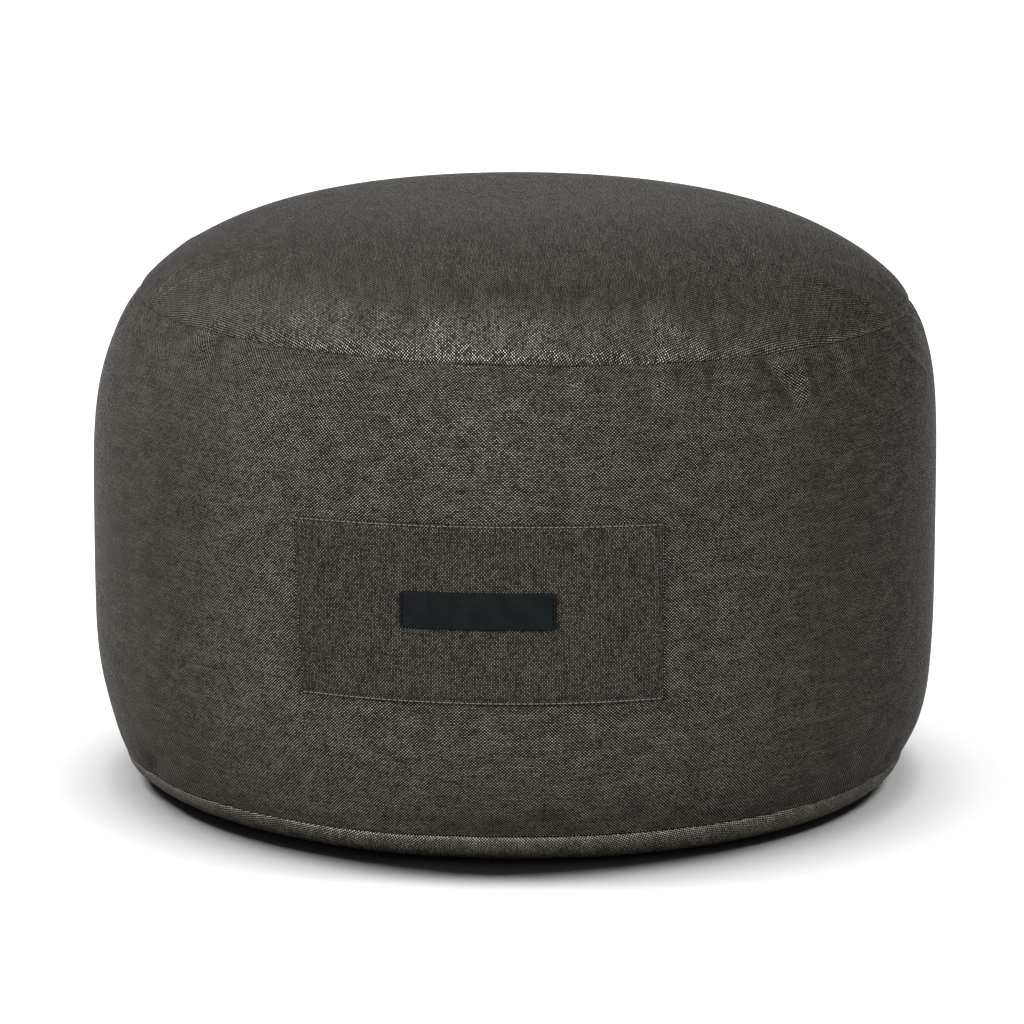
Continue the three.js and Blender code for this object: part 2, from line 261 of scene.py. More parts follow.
class Body:
    """The filled body's surface, by turn and station."""

    STEPS = 900

    def __init__(self, sizes: BodySizes) -> None:
        """Works out the outline from the middle of the crown down to the foot.

        Args:
            sizes: the body's sizes.
        """
        self.sizes = sizes
        share = np.linspace(0.0, 1.0, self.STEPS + 1)
        crown_rise = (1 - share**sizes.crown_inward) ** sizes.crown_upward
        crown = np.stack([
            sizes.top_seam_radius * share,
            sizes.top_seam_height + (sizes.crown_height - sizes.top_seam_height) * crown_rise,
        ])
        level = 1 - 2 * share
        upper = level > 0
        seam_radius = np.where(upper, sizes.top_seam_radius, sizes.base_seam_radius)
        seam_height = np.where(upper, sizes.top_seam_height, sizes.base_seam_height)
        away = np.abs(level)
        band = np.stack([
            sizes.widest_radius - (sizes.widest_radius - seam_radius) * away**sizes.band_fullness,
            sizes.widest_height + (seam_height - sizes.widest_height) * away,
        ])
        kept = (1 - share**sizes.tuck_downward) ** sizes.tuck_inward
        tuck = np.stack([
            sizes.foot_radius + (sizes.base_seam_radius - sizes.foot_radius) * kept,
            sizes.base_seam_height * (1 - share),
        ])
        line = np.concatenate([crown, band[:, 1:], tuck[:, 1:]], axis=1)
        step = np.hypot(*np.diff(line, axis=1))
        length = np.concatenate([[0.0], np.cumsum(step)])
        self.station = length[self.STEPS] - length
        self.radius, self.height = line
        self.crown_station = float(self.station[0])
        self.base_station = float(self.station[2 * self.STEPS])
        self.foot_station = float(self.station[-1])
        middle = (self.station[1:] + self.station[:-1]) / 2
        self._slope_station = middle[::-1]
        self._slope = (np.diff(line, axis=1) / step)[:, ::-1]

    def place(self, station: Array) -> tuple[Array, Array, Array, Array]:
        """The outline at stations.

        Args:
            station: lengths along the outline, up positive from the top seam's mean line.

        Returns:
            The radius, the height, and the radius and height parts of the way down the outline.
        """
        falling = self.station[::-1]
        radius = np.interp(station, falling, self.radius[::-1])
        height = np.interp(station, falling, self.height[::-1])
        down_radius = np.interp(station, self._slope_station, self._slope[0])
        down_height = np.interp(station, self._slope_station, self._slope[1])
        size = np.hypot(down_radius, down_height)
        return radius, height, down_radius / size, down_height / size

    def station_at_height(self, height: Array) -> Array:
        """The stations of heights on the band."""
        band = slice(self.STEPS, 2 * self.STEPS + 1)
        return np.interp(height, self.height[band][::-1], self.station[band][::-1])

    def top_seam(self, turn: Array) -> Array:
        """The top seam's stations.

        Args:
            turn: turns in degrees.

        Returns:
            The stations in metres.
        """
        angle = np.radians(turn)
        waves = (s * np.sin(n * angle) + c * np.cos(n * angle) for n, s, c in SEAM_WAVES)
        return sum(waves, np.zeros_like(angle))

    def point(self, turn: Array, place: tuple[Array, Array, Array, Array], rise: Array) -> Array:
        """Points raised out of the outline, with the stuffing's lean.

        Args:
            turn: turns in degrees.
            place: the outline there, as place() gives it.
            rise: how far the points stand out of the outline.

        Returns:
            The points, with X, Y and Z last.
        """
        base_radius, base_height, down_radius, down_height = place
        radius = base_radius - rise * down_height
        height = base_height + rise * down_radius
        lean = sum(shift * bell(height - middle, reach) for middle, reach, shift in LEANS)
        angle = np.radians(turn)
        return np.stack([radius * np.sin(angle) + lean, -radius * np.cos(angle), height], axis=-1)


def fold_distance(fold: Fold, turn: Array, above: Array, radius: Array) -> Array:
    """How far places lie from a fold's path, in metres.

    Args:
        fold: the fold, in millimetres.
        turn: turns in degrees.
        above: distances above the fold's seam, in metres.
        radius: the body's radius there.

    Returns:
        The distances along the cloth.
    """
    per_degree = math.radians(1.0) * radius
    nearest = np.full(np.broadcast(turn, above).shape, np.inf)
    for (start_turn, start_above), (end_turn, end_above) in zip(fold.path, fold.path[1:]):
        along_x = ((end_turn - start_turn + 180) % 360 - 180) * per_degree
        along_y = (end_above - start_above) * MM
        here_x = turn_between(turn, start_turn) * per_degree
        here_y = above - start_above * MM
        share = np.clip((here_x * along_x + here_y * along_y) / (along_x**2 + along_y**2), 0, 1)
        nearest = np.minimum(nearest, np.hypot(here_x - share * along_x, here_y - share * along_y))
    return nearest


def crease_marks(folds: tuple[Fold, ...], turn: Array, above: Array, radius: Array) -> Array:
    """How sharply the cloth is creased, which sets the highlight painted lighter along the crease's crest.

    Args:
        folds: the folds, in millimetres.
        turn: turns in degrees.
        above: distances above the folds' seam, in metres.
        radius: the body's radius there.

    Returns:
        The marks, from 0 to 1.
    """
    marks = np.zeros(np.broadcast(turn, above).shape)
    for fold in folds:
        if fold.edge is Edge.CREASED:
            away = fold_distance(fold, turn, above, radius)
            marks = np.maximum(marks, bell(away, CREASE_REACH) * min(1.0, fold.rise / CREASE_FULL))
    return marks


def fold_rise(folds: tuple[Fold, ...], turn: Array, above: Array, radius: Array) -> Array:
    """How far folds raise the cloth.

    Args:
        folds: the folds, in millimetres.
        turn: turns in degrees.
        above: distances above the folds' seam, in metres.
        radius: the body's radius there.

    Returns:
        The rise in metres.
    """
    rise = np.zeros(np.broadcast(turn, above).shape)
    for fold in folds:
        away = fold_distance(fold, turn, above, radius) / (fold.width * MM)
        crest = bell(away, 1.0)
        if fold.edge is Edge.CREASED:
            crest = 0.5 * crest + 0.5 * bell(away, CREST_SHARE)
        rise += fold.rise * MM * crest
    return rise


@dataclass(frozen=True)
class Gathers:
    """The small puckers that the thread pulls into a seam, spaced unevenly.

    Depth, width and the reaches above and below the seam are drawn between two bounds for each pucker. A
    pucker is deepest up to seam_reach from the seam. Shift and slant say how unevenly they stand.
    """

    seed: int
    count: int
    depth: tuple[float, float]
    width: tuple[float, float]
    above: tuple[float, float]
    below: tuple[float, float]
    seam_reach: float
    shift: float = 0.42
    slant: float = 0.22

    def rise(self, turn: Array, above: Array, radius: Array) -> Array:
        """How far the puckers draw the cloth in.

        Args:
            turn: turns in degrees.
            above: distances above the seam, in metres.
            radius: the body's radius there.

        Returns:
            The rise in metres, mostly below nought.
        """
        rng = np.random.default_rng(self.seed)
        step = 360.0 / self.count
        middles = -180.0 + step * (np.arange(self.count) + rng.uniform(-self.shift, self.shift, self.count))
        depths, widths, ups, downs = (
            rng.uniform(*bounds, self.count) for bounds in (self.depth, self.width, self.above, self.below)
        )
        slants = rng.normal(0.0, self.slant, self.count)
        rise = np.zeros(np.broadcast(turn, above).shape)
        across_scale = math.radians(1.0) * radius
        for middle, depth, width, up, down, slant in zip(middles, depths, widths, ups, downs, slants):
            across = turn_between(turn, middle) * across_scale - slant * above
            reach = np.where(above > 0, up, down)
            along = np.exp(-np.maximum(np.abs(above) - self.seam_reach, 0) / reach)
            rise -= depth * bell(across, width) * along
        return rise


TOP_GATHERS = Gathers(
    seed=11,
    count=150,
    depth=(0.0 * MM, 0.5 * MM),
    width=(2.6 * MM, 5.0 * MM),
    above=(2 * MM, 9 * MM),
    below=(2 * MM, 8 * MM),
    seam_reach=1.5 * MM,
)
BASE_GATHERS = Gathers(
    seed=23,
    count=110,
    depth=(0.0 * MM, 0.3 * MM),
    width=(2.5 * MM, 5.0 * MM),
    above=(2 * MM, 7 * MM),
    below=(1 * MM, 3 * MM),
    seam_reach=1.0 * MM,
)


@dataclass(frozen=True)
class PaintedRimHighlight:
    """Where a highlight is painted into the top's colour, over the rim at the front."""

    seed: int = 3
    middle: float = 20.0 * MM
    reach: float = 21.0 * MM
    front: float = -3.0
    falling: int = 4
    ripple: float = 0.07
    ripples: range = range(4, 50, 3)
    lean: float = 60.0

    def share(self, turn: Array, above: Array) -> Array:
        """How strongly the highlight is painted.

        Args:
            turn: turns in degrees.
            above: distances above the top seam, in metres.

        Returns:
            The shares, from 0 to about 1.
        """
        rng = np.random.default_rng(self.seed)
        angle = np.radians(turn - self.front)
        uneven = np.ones(np.broadcast(turn, above).shape)
        for times in self.ripples:
            lean = rng.uniform(-self.lean, self.lean) * above
            uneven = uneven + self.ripple * np.sin(times * angle + lean + rng.uniform(0, 2 * math.pi))
        over_rim = bell(above - self.middle, self.reach) * (above > -MM)
        return over_rim * np.cos(angle) ** self.falling * np.clip(uneven, 0.0, 2.0)


@dataclass
class ClothWaves:
    """The filled cloth's soft unevenness: its rise in rows, at rising distances above the top seam."""

    above: Array
    rise: Array

    def at(self, turn: Array, above: Array) -> Array:
        """The waves' rise.

        Args:
            turn: turns in degrees.
            above: distances above the top seam, in metres.

        Returns:
            The rise in metres.
        """
        turn, above = np.broadcast_arrays(turn, above)
        columns = self.rise.shape[1]
        column = (turn + 180.0) % 360.0 * columns / 360.0
        row = np.interp(above, self.above, np.arange(len(self.above)))
        left, low = np.floor(column).astype(int), np.floor(row).astype(int)
        across, up = column - left, row - low
        across = across * across * (3 - 2 * across)
        high = np.minimum(low + 1, len(self.above) - 1)
        right = (left + 1) % columns
        left = left % columns
        lower = self.rise[low, left] * (1 - across) + self.rise[low, right] * across
        upper = self.rise[high, left] * (1 - across) + self.rise[high, right] * across
        return lower * (1 - up) + upper * up


@dataclass
class Relief:
    """Everything that raises or dents the cloth off the body's plain outline.

    Its waves are the simulated unevenness of the filled cloth, or None before it is simulated.
    """

    body: Body
    waves: ClothWaves | None = None

    def creases(self, turn: Array, station: Array) -> Array:
        """How sharply the cloth is creased.

        Args:
            turn: turns in degrees.
            station: stations in metres.

        Returns:
            The marks, from 0 to 1.
        """
        body = self.body
        radius = body.place(station)[0]
        top = crease_marks(SHOULDER_FOLDS, turn, station - body.top_seam(turn), radius)
        return np.maximum(top, crease_marks(HEM_FOLDS, turn, station - body.base_station, radius))

    def corner_pull_and_rim_highlight(self, turn: Array, station: Array) -> Array:
        """How strongly the rim's highlight is painted at turns and stations."""
        return PaintedRimHighlight().share(turn, station - self.body.top_seam(turn))

    def rise(self, turn: Array, station: Array) -> Array:
        """The whole rise of the cloth.

        Args:
            turn: turns in degrees.
            station: stations in metres.

        Returns:
            The rise in metres.
        """
        body, sizes = self.body, self.body.sizes
        radius = body.place(station)[0]
        above_top = station - body.top_seam(turn)
        above_base = station - body.base_station
        rise = (
            -sizes.seam_draw * bell(above_top, sizes.seam_roll)
            - sizes.base_seam_draw * bell(above_base, sizes.seam_roll)
            + fold_rise(SHOULDER_FOLDS, turn, above_top, radius)
            + fold_rise(HEM_FOLDS, turn, above_base, radius)
        )
        rise += TOP_ROLL.rise(turn, above_top)
        rise += BASE_ROLL.rise(turn, above_base)
        rise += SEAM_DENT_SHARE * fold_rise(SEAM_DENTS, turn, above_top, radius)
        rise += TOP_GATHERS.rise(turn, above_top, radius)
        rise += BASE_GATHERS.rise(turn, above_base, radius)
        if self.waves is not None:
            rise += self.waves.at(turn, above_top)
        return rise


def new_object(name: str, data: bpy.types.ID) -> bpy.types.Object:
    """Makes an object and links it to the scene.

    Args:
        name: the object's name.
        data: its mesh, lamp or camera.

    Returns:
        The new object.
    """
    made = bpy.data.objects.new(name, data)
    bpy.context.scene.collection.objects.link(made)
    return made


class Skin:
    """A closed cloth mesh that grows ring by ring, with the cloth's own coordinates."""

    def __init__(self, name: str) -> None:
        """Starts an empty mesh.

        Args:
            name: the piece's name.
        """
        self.name = name
        self.points: list[Array] = []
        self.creased: list[Array] = []
        self.corner_pull_and_rim_highlight: list[Array] = []
        self.faces: list[list[int]] = []
        self.corner_cloth: list[Array] = []
        self.hidden: list[bool] = []
        self.count = 0

    def add(self, points: Array, creased: Array | float = 0.0, corner_pull_and_rim_highlight: Array | float = 0.0) -> Array:
        """Adds points.

        Args:
            points: an array of points.
            creased: how sharply the cloth is creased there, from 0 to 1.
            corner_pull_and_rim_highlight: how strongly the rim's highlight is painted there, from 0 to 1.

        Returns:
            The points' numbers.
        """
        self.points.append(points.reshape(-1, 3))
        count = points.size // 3
        self.creased.append(np.broadcast_to(np.ravel(creased), count))
        self.corner_pull_and_rim_highlight.append(np.broadcast_to(np.ravel(corner_pull_and_rim_highlight), count))
        numbers = np.arange(self.count, self.count + count)
        self.count += len(numbers)
        return numbers.reshape(points.shape[:-1])

    def face(self, corners: Array, cloth: Array, hidden: bool = False) -> None:
        """Adds faces that all have the same number of corners.

        Args:
            corners: point numbers, one row a face.
            cloth: the corners' cloth coordinates.
            hidden: whether the faces lie inside a seam, out of sight.
        """
        self.faces.extend(corners.tolist())
        self.corner_cloth.append(cloth.reshape(-1, 2))
        self.hidden.extend([hidden] * len(corners))

    def build(self) -> bpy.types.Object:
        """Makes the object, smooth where it shows.

        Returns:
            The new object, linked to the scene.
        """
        mesh = bpy.data.meshes.new(self.name)
        mesh.from_pydata(np.concatenate(self.points).tolist(), [], self.faces)
        layer = mesh.uv_layers.new(name="cloth")
        layer.data.foreach_set("uv", np.concatenate(self.corner_cloth).astype(np.float32).ravel())
        for name, values in (("creased", self.creased), ("corner_pull_and_rim_highlight", self.corner_pull_and_rim_highlight)):
            kept = mesh.attributes.new(name, "FLOAT", "POINT")
            kept.data.foreach_set("value", np.concatenate(values).astype(np.float32))
        mesh.polygons.foreach_set("use_smooth", [not h for h in self.hidden])
        mesh.update()
        return new_object(self.name, mesh)


class Ring(NamedTuple):
    """A closed ring of a skin: its points' numbers and their cloth coordinates."""

    points: Array
    cloth: Array


@dataclass
class Wrap:
    """Joins closed rings of a skin, whose first cloth coordinate grows by cloth_round in one round."""

    skin: Skin
    cloth_round: float = 0.0

    def _next(self, cloth: Array) -> Array:
        """Moves cloth coordinates on by one point round the ring.

        Args:
            cloth: the points' own.

        Returns:
            Those of each point's next one.
        """
        moved = np.roll(cloth, -1, axis=0)
        moved[-1, 0] += self.cloth_round
        return moved

    def _band(self, upper: Ring, lower: Ring) -> None:
        """Joins two rings of as many points each.

        Args:
            upper: the upper ring.
            lower: the lower ring.
        """
        above, below = upper.points, lower.points
        corners = [above, below, np.roll(below, -1), np.roll(above, -1)]
        cloth = [upper.cloth, lower.cloth, self._next(lower.cloth), self._next(upper.cloth)]
        self.skin.face(np.stack(corners, axis=1), np.stack(cloth, axis=1))

    def _halve(self, inner: Ring, outer: Ring) -> None:
        """Joins a ring to one outside it that has twice as many points.

        Args:
            inner: the ring nearer the middle.
            outer: the one outside it.
        """
        near, far = inner.points, outer.points
        corners = [near, far[::2], far[1::2], np.roll(far, -2)[::2], np.roll(near, -1)]
        moved = np.roll(outer.cloth, -2, axis=0)
        moved[-2:, 0] += self.cloth_round
        cloth = [inner.cloth, outer.cloth[::2], outer.cloth[1::2], moved[::2], self._next(inner.cloth)]
        self.skin.face(np.stack(corners, axis=1), np.stack(cloth, axis=1))

    def join(self, rings: list[Ring], rising: bool = False) -> None:
        """Joins rings in order.

        Args:
            rings: the rings.
            rising: whether each ring lies above the one before, or else below it.
        """
        for first, second in zip(rings, rings[1:]):
            upper, lower = (second, first) if rising else (first, second)
            if len(upper.points) == len(lower.points):
                self._band(upper, lower)
            else:
                self._halve(upper, lower)

    def close(self, ring: Ring, tip: Array, upward: bool, hidden: bool = True) -> None:
        """Closes a ring to one point.

        Args:
            ring: the ring.
            tip: the point.
            upward: whether the fan's outside faces up, or else down.
            hidden: whether the fan lies inside a seam, out of sight.
        """
        number = self.skin.add(tip.reshape(1, 3))[0]
        corners = [ring.points, np.roll(ring.points, -1)]
        cloth = [ring.cloth, self._next(ring.cloth)]
        if not upward:
            corners.reverse()
            cloth.reverse()
        corners.append(np.full_like(ring.points, number))
        cloth.append(np.broadcast_to(ring.cloth.mean(axis=0), ring.cloth.shape))
        self.skin.face(np.stack(corners, axis=1), np.stack(cloth, axis=1), hidden)


def even_turns(count: int) -> Array:
    """Even turns all the way round, in degrees."""
    return -180.0 + np.arange(count) * 360.0 / count


def on_axis(height: float) -> Array:
    """The point at a height on the body's axis."""
    return np.array([0.0, 0.0, height])


def round_cloth(turn: Array, reach: Array) -> Array:
    """A flat round panel's cloth coordinates at a reach from its middle, the weft's own direction first."""
    angle = np.radians(turn)
    return np.stack([reach * np.cos(angle), reach * np.sin(angle)], axis=-1)


def spaced(*stretches: tuple[float, float, float]) -> Array:
    """Distances along stretches.

    Args:
        stretches: each one's start, end and step in millimetres, each starting where the last one ends.

    Returns:
        The distances in metres, each once, with the last end.
    """
    parts = []
    for start, end, step in stretches:
        count = max(1, round(abs(end - start) / step))
        parts.append(np.linspace(start, end, count, endpoint=False))
    parts.append(np.array([stretches[-1][1]]))
    return np.concatenate(parts) * MM


@dataclass(frozen=True)
class PressedCloth:
    """The slack cloth under the filling's pressure, simulated on a coarse copy of the body's skin.

    The cloth is a little too large near both seams. Its waves are laid on the panels at a share of their
    height, up to a cap, and less at the sides than at the front and back.
    """

    columns: int = 240
    pressure: float = 4.0
    frames: int = 20
    seam_fullness: float = 0.07
    top_reach: float = 22 * MM
    base_reach: float = 14 * MM
    cap: float = 1.2 * MM
    strength: float = 0.4
    side_share: float = 0.3

    def rows(self) -> Array:
        """The rows' distances above the top seam, falling."""
        return spaced((168, 24, 8), (24, -36, 4), (-36, -236, 8), (-236, -272, 4.5))

    def simulate(self, body: Body, relief: Relief) -> ClothWaves:
        """Runs the simulation and keeps how far it moved the cloth in or out.

        Args:
            body: the filled body.
            relief: its folds and seams, without waves.

        Returns:
            The cloth's waves.
        """
        turns = even_turns(self.columns)
        above = self.rows()
        turn, over = np.meshgrid(turns, above)
        station = over + body.top_seam(turn)
        place = body.place(station)
        start = body.point(turn, place, relief.rise(turn, station))
        skin = Skin("pressed_cloth")
        Wrap(skin).join([Ring(skin.add(ring), ring[:, :2]) for ring in start])
        shown = skin.build()
        base_over = body.base_station - body.top_seam(turn)
        near_seam = np.maximum(bell(over, self.top_reach), bell(over - base_over, self.base_reach))
        held = (np.abs(over) < 1 * MM) | (over < base_over + 2 * MM) | (over > above[1] - MM)
        self._group(shown, "held", held.astype(float).ravel())
        self._group(shown, "snug", 1.0 - near_seam.ravel())
        self._press(shown)
        moved = self._settle(shown) - start
        angle = np.radians(turn)
        out = np.stack([-place[3] * np.sin(angle), place[3] * np.cos(angle), place[2]], axis=-1)
        rise = (moved * out).sum(axis=-1)
        rise -= rise.mean(axis=1, keepdims=True)
        log.info("pressed cloth: %.2f mm typical rise", float(rise.std()) / MM)
        shown_share = self.side_share + (1 - self.side_share) * np.cos(np.radians(turns)) ** 2
        rise = self.cap * np.tanh(rise * self.strength * shown_share / self.cap)
        return ClothWaves(above[::-1], rise[::-1])

    def _group(self, shown: bpy.types.Object, name: str, weights: Array) -> None:
        """Adds a vertex group.

        Args:
            shown: the cloth's object.
            name: the group's name.
            weights: a weight for each point.
        """
        group = shown.vertex_groups.new(name=name)
        for level in np.unique(np.round(weights, 2)):
            chosen = np.flatnonzero(np.round(weights, 2) == level)
            group.add(chosen.tolist(), float(level), "REPLACE")

    def _press(self, shown: bpy.types.Object) -> None:
        """Puts the cloth under pressure, held at its seams, with some fullness near them.

        Args:
            shown: the cloth's object.
        """
        press = shown.modifiers.new("pressure", "CLOTH")
        cloth = press.settings
        cloth.quality = 5
        cloth.mass = 0.3
        cloth.tension_stiffness = 15
        cloth.compression_stiffness = 15
        cloth.shear_stiffness = 5
        cloth.bending_stiffness = 0.5
        cloth.vertex_group_mass = "held"
        cloth.use_pressure = True
        cloth.uniform_pressure_force = self.pressure
        cloth.shrink_min = -self.seam_fullness
        cloth.shrink_max = 0.0
        cloth.vertex_group_shrink = "snug"
        cloth.effector_weights.gravity = 0.0

    def _settle(self, shown: bpy.types.Object) -> Array:
        """Lets the cloth settle and removes it.

        Args:
            shown: the cloth's object.

        Returns:
            Its settled points, by row and turn.
        """
        for number in range(1, self.frames + 1):
            bpy.context.scene.frame_set(number)
        settled = shown.evaluated_get(bpy.context.evaluated_depsgraph_get())
        points = np.empty(len(settled.data.vertices) * 3)
        settled.data.vertices.foreach_get("co", points)
        bpy.context.scene.frame_set(1)
        mesh = shown.data
        bpy.data.objects.remove(shown)
        bpy.data.meshes.remove(mesh)
        return points.reshape(len(self.rows()), self.columns, 3)


@dataclass
class Panel:
    """A cut panel of the filled body's cloth, built of rings."""

    body: Body
    relief: Relief

    def ring(
        self, skin: Skin, turns: Array, station: Array, lift: float, cloth: Array, corner_pull_and_rim_highlight: Array | float = 0.0
    ) -> Ring:
        """Adds one ring.

        Args:
            skin: the skin to add to.
            turns: the ring's turns in degrees.
            station: stations in metres.
            lift: how far it is moved along Z.
            cloth: the cloth coordinates.
            corner_pull_and_rim_highlight: how strongly the rim's highlight is painted there, from 0 to 1.

        Returns:
            The ring.
        """
        points = self.body.point(turns, self.body.place(station), self.relief.rise(turns, station))
        points[:, 2] += lift
        return Ring(skin.add(points, self.relief.creases(turns, station), corner_pull_and_rim_highlight), cloth)


@dataclass
class TopPanel(Panel):
    """The crowned round top, sewn in at the top seam."""

    rim_count: int = 1080

    def distances(self) -> list[tuple[int, Array]]:
        """The rings' distances from the seam, closer near it.

        Returns:
            How many points a ring has, with the distances of the rings that have as many.
        """
        return [
            (self.rim_count, spaced((0, 12, 0.9), (12, 50, 1.3))),
            (self.rim_count // 2, spaced((54, 100, 4.0))),
            (self.rim_count // 4, spaced((106, 200, 6.0))),
            (self.rim_count // 8, spaced((206, 236, 8.0))),
        ]

    def build(self) -> bpy.types.Object:
        """Makes the panel.

        Returns:
            The finished object.
        """
        body = self.body
        skin = Skin("top_cloth")
        wrap = Wrap(skin)
        half_gap = body.sizes.seam_gap / 2
        rings = []
        for count, distances in self.distances():
            turns = even_turns(count)
            for distance in distances:
                station = body.top_seam(turns) + distance
                lift = half_gap if distance == 0 else 0.0
                cloth = round_cloth(turns, body.crown_station - station)
                rings.append(self.ring(skin, turns, station, lift, cloth, self.relief.corner_pull_and_rim_highlight(turns, station)))
        wrap.join(rings, rising=True)
        crown = body.point(np.zeros(1), body.place(np.array([body.crown_station])), np.zeros(1))
        wrap.close(rings[-1], crown, upward=True, hidden=False)
        wrap.close(rings[0], on_axis(body.sizes.top_seam_height + half_gap), upward=False)
        return skin.build()


@dataclass
class SideBand(Panel):
    """The upright band between the two seams."""

    count: int = 1080

    def distances_from_top(self) -> Array:
        """The rings' distances below the top seam, to the middle of the wall."""
        return spaced((0, 12, 0.9), (12, 40, 1.4), (40, 60, 3.3), (60, 172, 5.6))

    def distances_from_base(self) -> Array:
        """The rings' distances above the base seam, downward."""
        return spaced((84, 40, 5.5), (40, 16, 3.0), (16, 0, 1.0))

    def build(self) -> bpy.types.Object:
        """Makes the band.

        Returns:
            The finished object.
        """
        skin = Skin("band_cloth")
        sizes = self.body.sizes
        wrap = Wrap(skin, 2 * math.pi * sizes.widest_radius)
        turns = even_turns(self.count)
        half_gap = sizes.seam_gap / 2
        stations = [self.body.top_seam(turns) - distance for distance in self.distances_from_top()]
        for distance in self.distances_from_base():
            stations.append(np.full_like(turns, self.body.base_station + distance))
        lifts = [-half_gap] + [0.0] * (len(stations) - 2) + [half_gap]
        round_body = np.radians(turns) * sizes.widest_radius
        rings = [
            self.ring(skin, turns, station, lift, np.stack([round_body, station], axis=-1))
            for station, lift in zip(stations, lifts)
        ]
        wrap.join(rings)
        wrap.close(rings[0], on_axis(sizes.top_seam_height - half_gap), upward=True)
        wrap.close(rings[-1], on_axis(sizes.base_seam_height + half_gap), upward=False)
        return skin.build()


@dataclass
class BasePanel(Panel):
    """The round underside, turned up to the base seam and flat on the floor.

    Its rings stand at shares of the way from the seam to the foot, then at shares of the foot's radius.
    """

    count: int = 720
    shares: tuple[float, ...] = (0, 0.06, 0.13, 0.22, 0.32, 0.44, 0.58, 0.72, 0.86, 0.95, 1)
    foot_shares: tuple[float, ...] = (0.96, 0.88, 0.7, 0.4)

    def build(self) -> bpy.types.Object:
        """Makes the underside.

        Returns:
            The finished object.
        """
        skin = Skin("base_cloth")
        body, sizes = self.body, self.body.sizes
        turns = even_turns(self.count)
        rings = []
        for share in self.shares:
            down = (body.foot_station - body.base_station) * share
            station = np.full_like(turns, body.base_station + down)
            radius, height, down_radius, down_height = body.place(station)
            slack = sizes.slack_inward * bell(turn_between(turns, sizes.slack_turn), sizes.slack_reach)
            place = (radius - share * slack, height, down_radius * (1 - share), down_height)
            points = body.point(turns, place, self.relief.rise(turns, station) * (1 - share))
            if share == 0:
                points[:, 2] -= sizes.seam_gap / 2
            if share == 1:
                points[:, 2] = 0.0
                foot = points
            reach = sizes.foot_radius + station - body.foot_station
            rings.append(Ring(skin.add(points), round_cloth(turns, reach)))
        for share in self.foot_shares:
            reach = np.full_like(turns, sizes.foot_radius * share)
            rings.append(Ring(skin.add(foot * share), round_cloth(turns, reach)))
        wrap = Wrap(skin)
        wrap.join(rings)
        wrap.close(rings[0], on_axis(sizes.base_seam_height - sizes.seam_gap / 2), upward=True)
        wrap.close(rings[-1], on_axis(0.0), upward=False, hidden=False)
        return skin.build()


@dataclass(frozen=True)
class Stitch:
    """One of a row of short stitches along a sheet's edge: a thread whose ends dip into the sheet."""

    inset: float = 1.0 * MM
    pitch: float = 3.2 * MM
    length: float = 2.6 * MM
    thread: float = 0.55 * MM
    sink: float = 0.1 * MM
    dip: float = 0.5 * MM
    rings: int = 7
    sides: int = 8
    taper: float = 0.97


